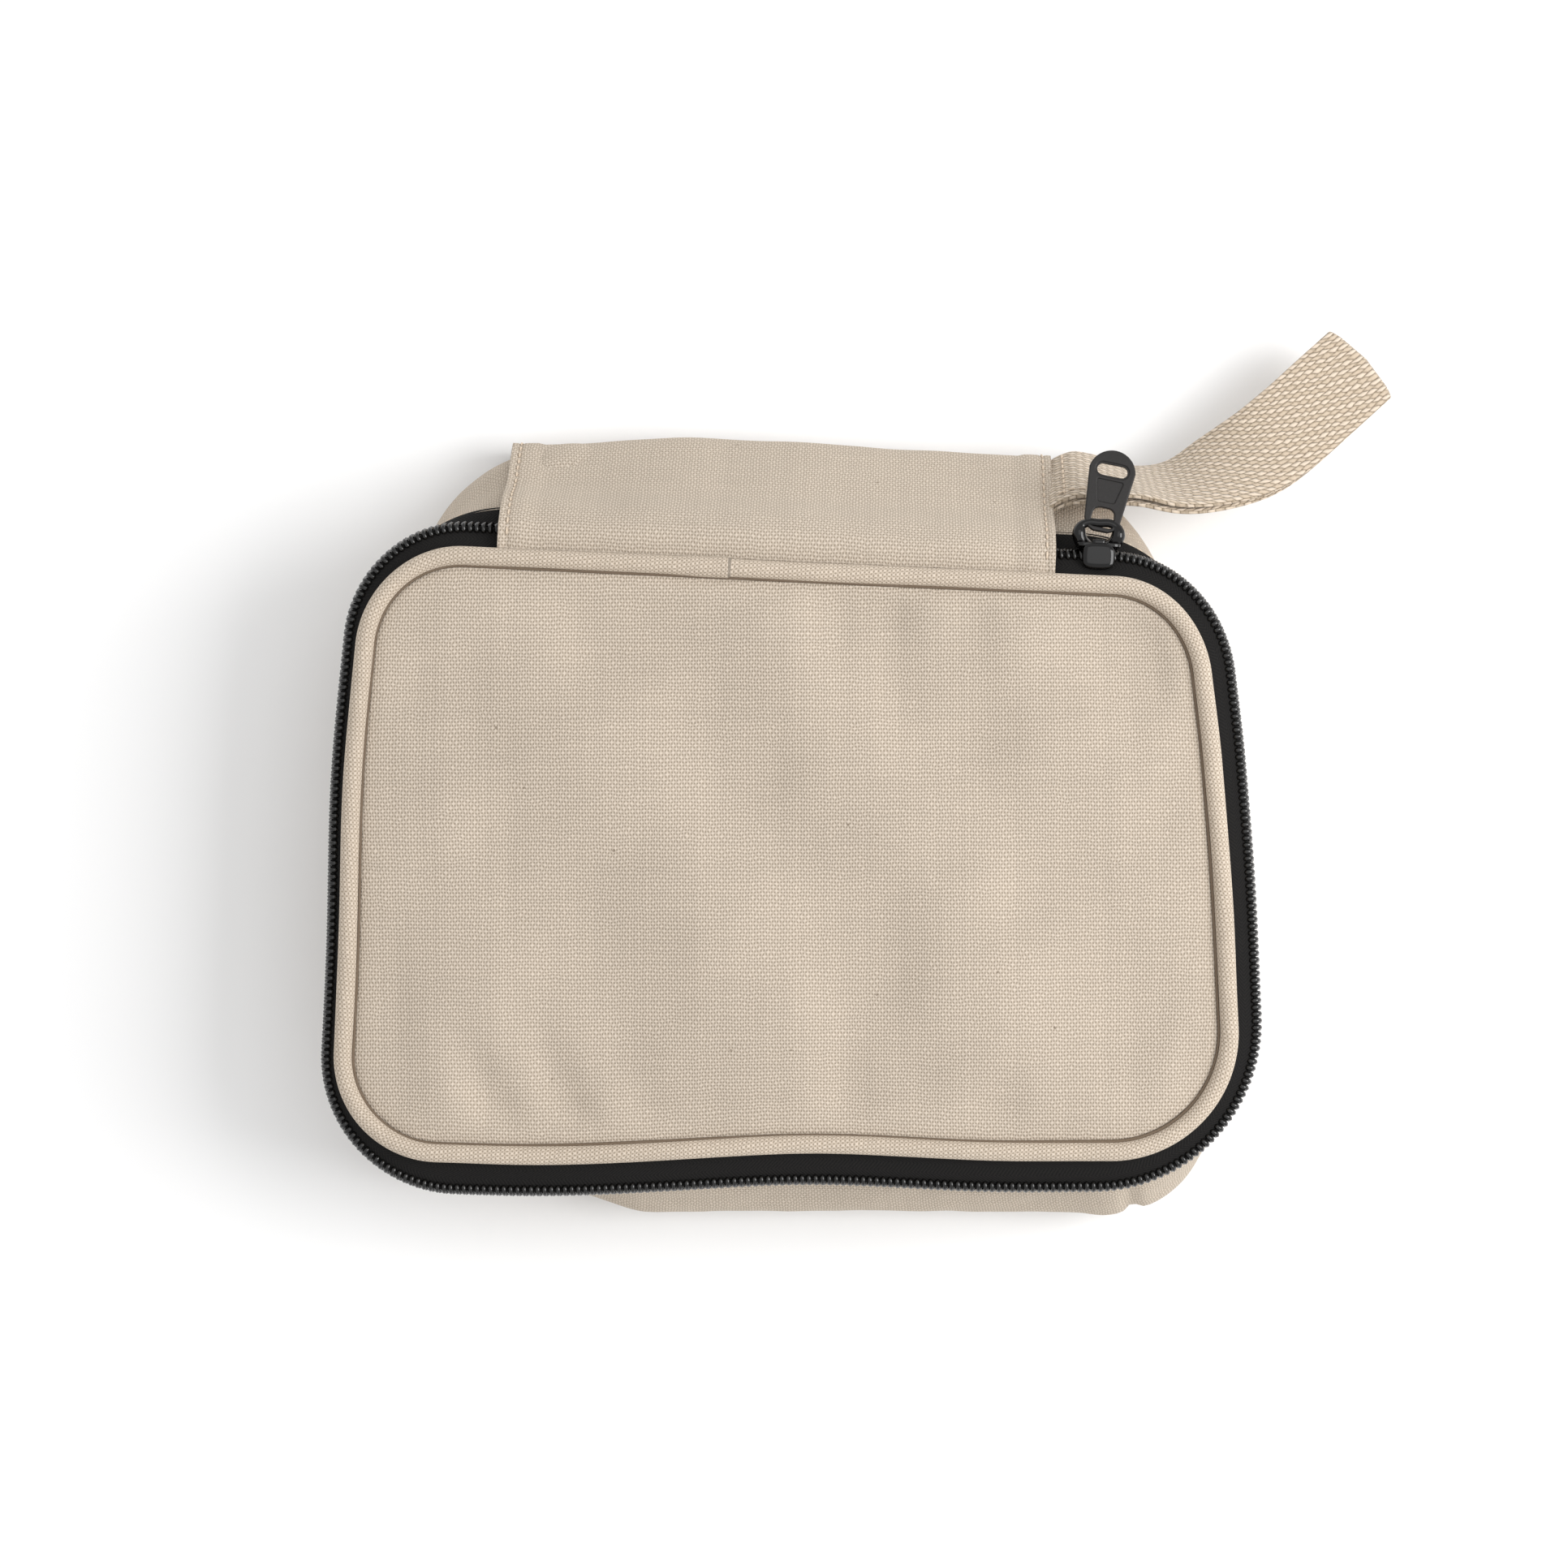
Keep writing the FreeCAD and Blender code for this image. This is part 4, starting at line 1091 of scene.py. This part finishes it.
# ---------------------------------------------------------------- wrist loop
# past the band, stand-off from the wall's shoulder, height over 11 mm, heading, tilt
STATIONS = (
    (-1.2, 2.6, 8.6, 0.0, 56.0), (1.2, 4.3, 9.6, 0.0, 56.0), (4.0, 5.4, 10.4, 0.0, 56.0),
    (8.8, 5.3, 10.2, 0.6, 58.0), (18.2, 4.4, 9.7, 2.6, 66.0), (25.9, 4.4, 8.8, 10.6, 58.0),
    (36.3, 8.2, 7.8, 26.6, 36.0), (45.7, 13.6, 6.8, 35.6, 14.0), (52.2, 19.2, 5.8, 43.6, 4.0),
    (58.9, 25.8, 4.8, 45.6, 0.0), (66.2, 33.0, 3.9, 45.6, 0.0),
)  # fmt: skip
route = through(np.array(STATIONS) + (BAND_RIGHT, 11.0, 11.0, 0.0, 0.0), 130)
heading, tilt = np.radians(route[:, 3]), np.radians(route[:, 4])
sine, cosine = -np.sin(heading), np.cos(heading)
across = spine_way(sine * np.cos(tilt), cosine * np.cos(tilt), -np.sin(tilt))
facing = spine_way(sine * np.sin(tilt), cosine * np.sin(tilt), np.cos(tilt))
centre = spine_point(*route[:, :3].T)
forward = unit(centre[-1] - centre[-2])
gap = 0.62 + 0.25 * smooth((route[:, :1] - BAND_RIGHT - 2) / 6)
# the upper layer goes out, rounds the end in a half circle, and the lower comes back
end_turn = np.linspace(0, math.pi, 15)[1:-1, None]
nose_facing = np.cos(end_turn) * facing[-1] + np.sin(end_turn) * forward
nose = centre[-1] + gap[-1] * nose_facing
path = np.concatenate([centre + gap * facing, nose, (centre - gap * facing)[::-1]])
up = np.concatenate([facing, nose_facing, -facing[::-1]])
side = np.concatenate([across, np.repeat(across[-1:], len(nose), axis=0), across[::-1]])
half_wide = 10.0
section = circle(half_wide, 0.62, 44, 0.16, 0.45)
points, faces, _ = tube(path, side, up, section, closed=False)
# the fold at the far end is a little bowed, as a thumb leaves it
walked = walk(path)
walked = np.concatenate([walked[:1], walked, walked[-1:]])[:, None]
bow = 1.6 * bump(walked, walked[len(walked) // 2], 5.0) * (1 - (section[:, 0] / half_wide) ** 2)
uv = np.dstack(np.broadcast_arrays(walked, section[:, 0][None]))
part = points + bow[..., None] * forward, faces, uv
wrist_strap = closed_piece("wrist_strap_webbing", part, webbing_cloth)
# its stitches: along the sewn stretch near the lower edge, and across it by the band
near = (route[:, 0] > BAND_RIGHT + 0.6) & (route[:, 0] < BAND_RIGHT + 15)
low_row = (centre + 1.5 * facing - 7.6 * across)[near]
k = int(np.argmin(np.abs(route[:, 0] - BAND_RIGHT - 2.2)))
cross_row = centre[k] + 1.5 * facing[k] + np.linspace(-8.6, 8.6, 30)[:, None] * across[k]
rows = [
    stitches(low_row, facing[near], 2.4, 1.8, 0.24),
    stitches(cross_row, np.repeat(facing[k : k + 1], 30, axis=0), 2.2, 1.7, 0.24),
]
strap_stitches = stitch_piece("wrist_strap_stitches", rows)


# ---------------------------------------------------------------- inside the case
def lining_tub():
    """Cotton sheeting that lines the base: rows down the inside of the wall, round the
    bottom corner and in across the floor to its middle, which one point closes."""
    rows, columns = 20, 300
    points, normals, walked = wall_rows(rows, columns, 1.95, 4.6, 31.0)
    points = wall_folds(points, normals, walked * 1.02)[::-1]
    x, y, z = points[..., 0], points[..., 1], points[..., 2]
    slack = smooth((30 - z) / 5) * smooth((z - 4) / 4)
    drape = slack * (0.35 * ripple(x + y, z * 2, 61, 26) - 0.35)
    points = points.copy()
    points[..., :2] += normals[::-1] * drape[..., None]
    floor_z = (0, 0, 3.45)
    middle = np.array([0.0, 3.0, 0.0]) + floor_z
    share = np.linspace(0.985, 0.0, 24)[:, None, None]
    floor_rows = middle + share * (points[-1:] * (1, 1, 0) + floor_z - middle)
    whole = np.concatenate([points, floor_rows])
    uv = whole[..., :2].copy()
    uv[:rows, :, 0] = np.linspace(0, 600, columns)
    uv[:rows, :, 1] = walk(whole[:, 0])[:rows, None]
    part = whole, grid_faces(len(whole), columns, False, True), uv
    piece = merge_close(make_piece("base_lining_cotton", part, lining_cloth), 0.005)
    return outward(thicken(reshape(piece, settle), 0.4, 0.0))


base_lining = lining_tub()

flat, far = sheet_grid(COVER_INSETS + 2.3, COVER_RADII - 2.3, 60, 44)
sag = 0.18 * ripple(flat[..., 0], flat[..., 1], 62, 30)
part = closed_pad(flat, far, 40.98 + sag, 40.52 + sag)
cover_lining = closed_piece("cover_lining_cotton", part, lining_cloth, 0.005)
reshape(cover_lining, settle)

# net pocket: knitted yarns both ways, a yarn every 2.6 mm, weaving over and under
YARN_PITCH = 2.6
pocket_line, _, _ = outline(COVER_INSETS + 3.4, COVER_RADII - 3.4, 1600)


def yarns(starts, ends, phase, height=40.25, radius=0.17):
    """Straight yarns from each start to each end, of four-sided section, that rise and
    fall by a sine as they cross the others."""
    t = np.linspace(0, 1, 49)
    line = starts[:, None] + (ends - starts)[:, None] * t[None, :, None]
    along = unit(ends - starts)[:, None]
    side = np.stack([-along[..., 1], along[..., 0]], axis=-1)
    length = np.linalg.norm(ends - starts, axis=1)[:, None] * t[None]
    z = height + 0.13 * np.sin(math.pi * length / YARN_PITCH + phase[:, None])
    corners = circle(radius, radius, 4)
    points = np.concatenate(
        [
            line[:, :, None] + side[:, :, None] * corners[:, :1],
            z[:, :, None, None] + corners[:, 1:],
        ],
        axis=-1,
    )
    last = len(t) * 4 - 4
    caps = np.array([[0, 1, 2, 3], [last + 3, last + 2, last + 1, last]])
    one = np.concatenate([grid_faces(len(t), 4, False, True), caps])
    faces = repeated(one, len(starts), len(t) * 4)
    return points, faces, np.zeros(points.shape[:-1] + (2,))


def span_of(values, axis):
    """Where lines at the given values cross the pocket's outline, low and high end."""
    other = pocket_line[:, 1 - axis]
    low = other < np.median(other)
    ends = []
    for half in (pocket_line[low], pocket_line[~low]):
        half = half[np.argsort(half[:, axis])]
        ends.append(np.interp(values, half[:, axis], half[:, 1 - axis]))
    return ends


net_x = np.arange(-88.0, 89.0, YARN_PITCH)
net_y = np.arange(-60.0, 4.0, YARN_PITCH)
front_y = span_of(net_x, 0)[0]
left_x, right_x = span_of(net_y, 1)
down = np.stack([net_x, front_y], axis=1), np.stack([net_x, np.full(len(net_x), 5.0)], axis=1)
over = np.stack([left_x, net_y], axis=1), np.stack([right_x, net_y], axis=1)
part = join_parts(
    [
        yarns(*down, np.arange(len(net_x)) * math.pi),
        yarns(*over, np.arange(len(net_y)) * math.pi + math.pi),
    ]
)
net_pocket = outward(make_piece("net_pocket_yarns", settled(part), net_yarn))

# elastic binding folded over the pocket's mouth, gathered a little along its length
BINDING_Y = 6.5
left_x, right_x = span_of(np.array([BINDING_Y]), 1)
t = np.linspace(0, 1, 260)
gathers = 39.62 + 0.1 * np.sin(t * 260)
path = np.column_stack([left_x + (right_x - left_x) * t, np.full(len(t), BINDING_Y), gathers])
part = tube(path, (0.0, 1.0, 0.0), UP, circle(4.4, 0.42, 24, 0.5, 0.8), closed=False)
pocket_binding = closed_piece("pocket_binding_elastic", settled(part), elastic_cloth)

# elastic strap over the row of boxes: up one side, across and down the other
(left, front, bottom), (right, rear, top) = (np.array(c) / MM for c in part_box("box_strap"))
bend = 1.6
left, right, top = left + 0.4, right - 0.4, top - 0.4
arc = np.linspace(0, math.pi / 2, 9)
aside, below = bend - bend * np.cos(arc), bend * np.sin(arc) - bend
rise = np.linspace(bottom + 0.1, top - bend, 12, endpoint=False)
run = np.linspace(left + bend, right - bend, 122)[1:-1]
path_x = [np.full(12, left), left + aside, run, (right - aside)[::-1], np.full(12, right)]
path_z = [rise, top + below, np.full(120, top), (top + below)[::-1], rise[::-1]]
path = np.stack([np.concatenate(path_x), np.zeros(162), np.concatenate(path_z)], axis=1)
path[:, 1] = (front + rear) / 2
across = np.array([0.0, 1.0, 0.0])
up = np.cross(unit(np.gradient(path, axis=0)), across)
part = tube(path, across, up, circle(3.0, 0.38, 20, 0.4, 0.8), closed=False)
box_strap = closed_piece("box_strap_elastic", part, elastic_cloth)

# the boxes, their lids and the rods keep their own shapes
OWN_MATERIALS = {"day_box": box_plastic, "_lid_": lid_plastic, "lid_hinge_rods": rod_steel}
for name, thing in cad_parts.items():
    for word, material in OWN_MATERIALS.items():
        if word in name:
            thing.data.materials.clear()
            thing.data.materials.append(material)


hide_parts("cover_panel", "cover_foam")
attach(cover_pad, "cover")
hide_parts("cover_piping", "cover_piping_cord")
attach(cover_piping, "cover")
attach(crease_shade_line, "cover")
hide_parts("base_piping", "base_piping_cord")
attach(base_piping, "base")
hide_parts("side_wall")
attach(wall, "base")
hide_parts("spine_band")
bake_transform(band)
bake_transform(band_stitches)
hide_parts("base_panel", "base_foam")
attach(base_pad, "base")
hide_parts("zip_coil_upper")
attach(upper_coil, "cover")
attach(upper_core, "cover")
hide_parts("zip_coil_lower")
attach(lower_coil, "base")
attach(lower_core, "base")
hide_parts("zip_tape_upper")
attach(upper_tape, "cover")
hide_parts("zip_tape_lower")
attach(lower_tape, "base")
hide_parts("zip_end_stops")
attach(end_stops, "base")
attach(wall_stitches, "base")
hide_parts("slider_body")
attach(slider, "slider")
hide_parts("pull_tab")
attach(pull, "pull")
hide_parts("wrist_loop_stub", "wrist_loop")
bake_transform(wrist_strap)
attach(strap_stitches, "base")
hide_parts("base_lining")
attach(base_lining, "base")
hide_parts("cover_lining")
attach(cover_lining, "cover")
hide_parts("mesh_pocket")
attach(net_pocket, "cover")
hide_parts("pocket_binding")
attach(pocket_binding, "cover")
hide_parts("box_strap")
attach(box_strap, "base")


# ---------------------------------------------------------------- camera, floor and light
scene = bpy.context.scene
scene.view_settings.view_transform = "Standard"
scene.view_settings.look = "None"
eye = bpy.data.cameras.new("copy_stand")
eye.lens, eye.sensor_width = 85.4, 36.0
eye.clip_start, eye.clip_end = 0.05, 5.0
camera = add_object("copy_stand", eye)
camera.location = (-1.55 * MM, 15.7 * MM, 835 * MM)
scene.camera = camera

floor_paper, tree, surface = new_material("white_paper_sweep")
grain = node(tree, "TexNoise", {"Scale": 900.0, "Detail": 3.0}).outputs[0]
tooth = node(tree, "Bump", {"Height": grain, "Strength": 0.05, "Distance": 0.0001})
tree.links.new(tooth.outputs[0], surface.inputs["Normal"])
surface.inputs["Base Color"].default_value = colour("#f4f4f4")
surface.inputs["Roughness"].default_value = 0.95
surface.inputs["Specular IOR Level"].default_value = 0.1
half = 4000.0
square = np.array([(-half, -half), (half, -half), (half, half), (-half, half)])
part = np.column_stack([square, np.full(4, -0.02)]), np.arange(4)[None], square
floor = make_piece("paper_floor", part, floor_paper)

room = bpy.data.worlds.new("white_room")
scene.world = room
room.use_nodes = True
sky = room.node_tree.nodes["Background"].inputs
sky["Color"].default_value, sky["Strength"].default_value = (1.0, 1.0, 1.0, 1.0), 0.79


def soft_box(name, place, aim, size, power):
    """A square soft box at a place, turned to face the aim, both in millimetres."""
    lamp = bpy.data.lights.new(name, "AREA")
    lamp.shape, lamp.size, lamp.energy = "SQUARE", size * MM, power
    back = unit(np.array(place, float) - np.array(aim, float))
    side = unit(np.cross((0.0, 1.0, 0.01), back))
    stand = np.eye(4)
    stand[:3] = np.stack([side, np.cross(back, side), back, np.array(place) * MM], axis=1)
    add_object(name, lamp).matrix_world = mathutils.Matrix(stand.tolist())


soft_box("key_from_the_right", (760, 50, 740), (0, 0, 20), 600, 8.0)
soft_box("fill_from_above", (150, 300, 1300), (0, 0, 0), 900, 2.2)
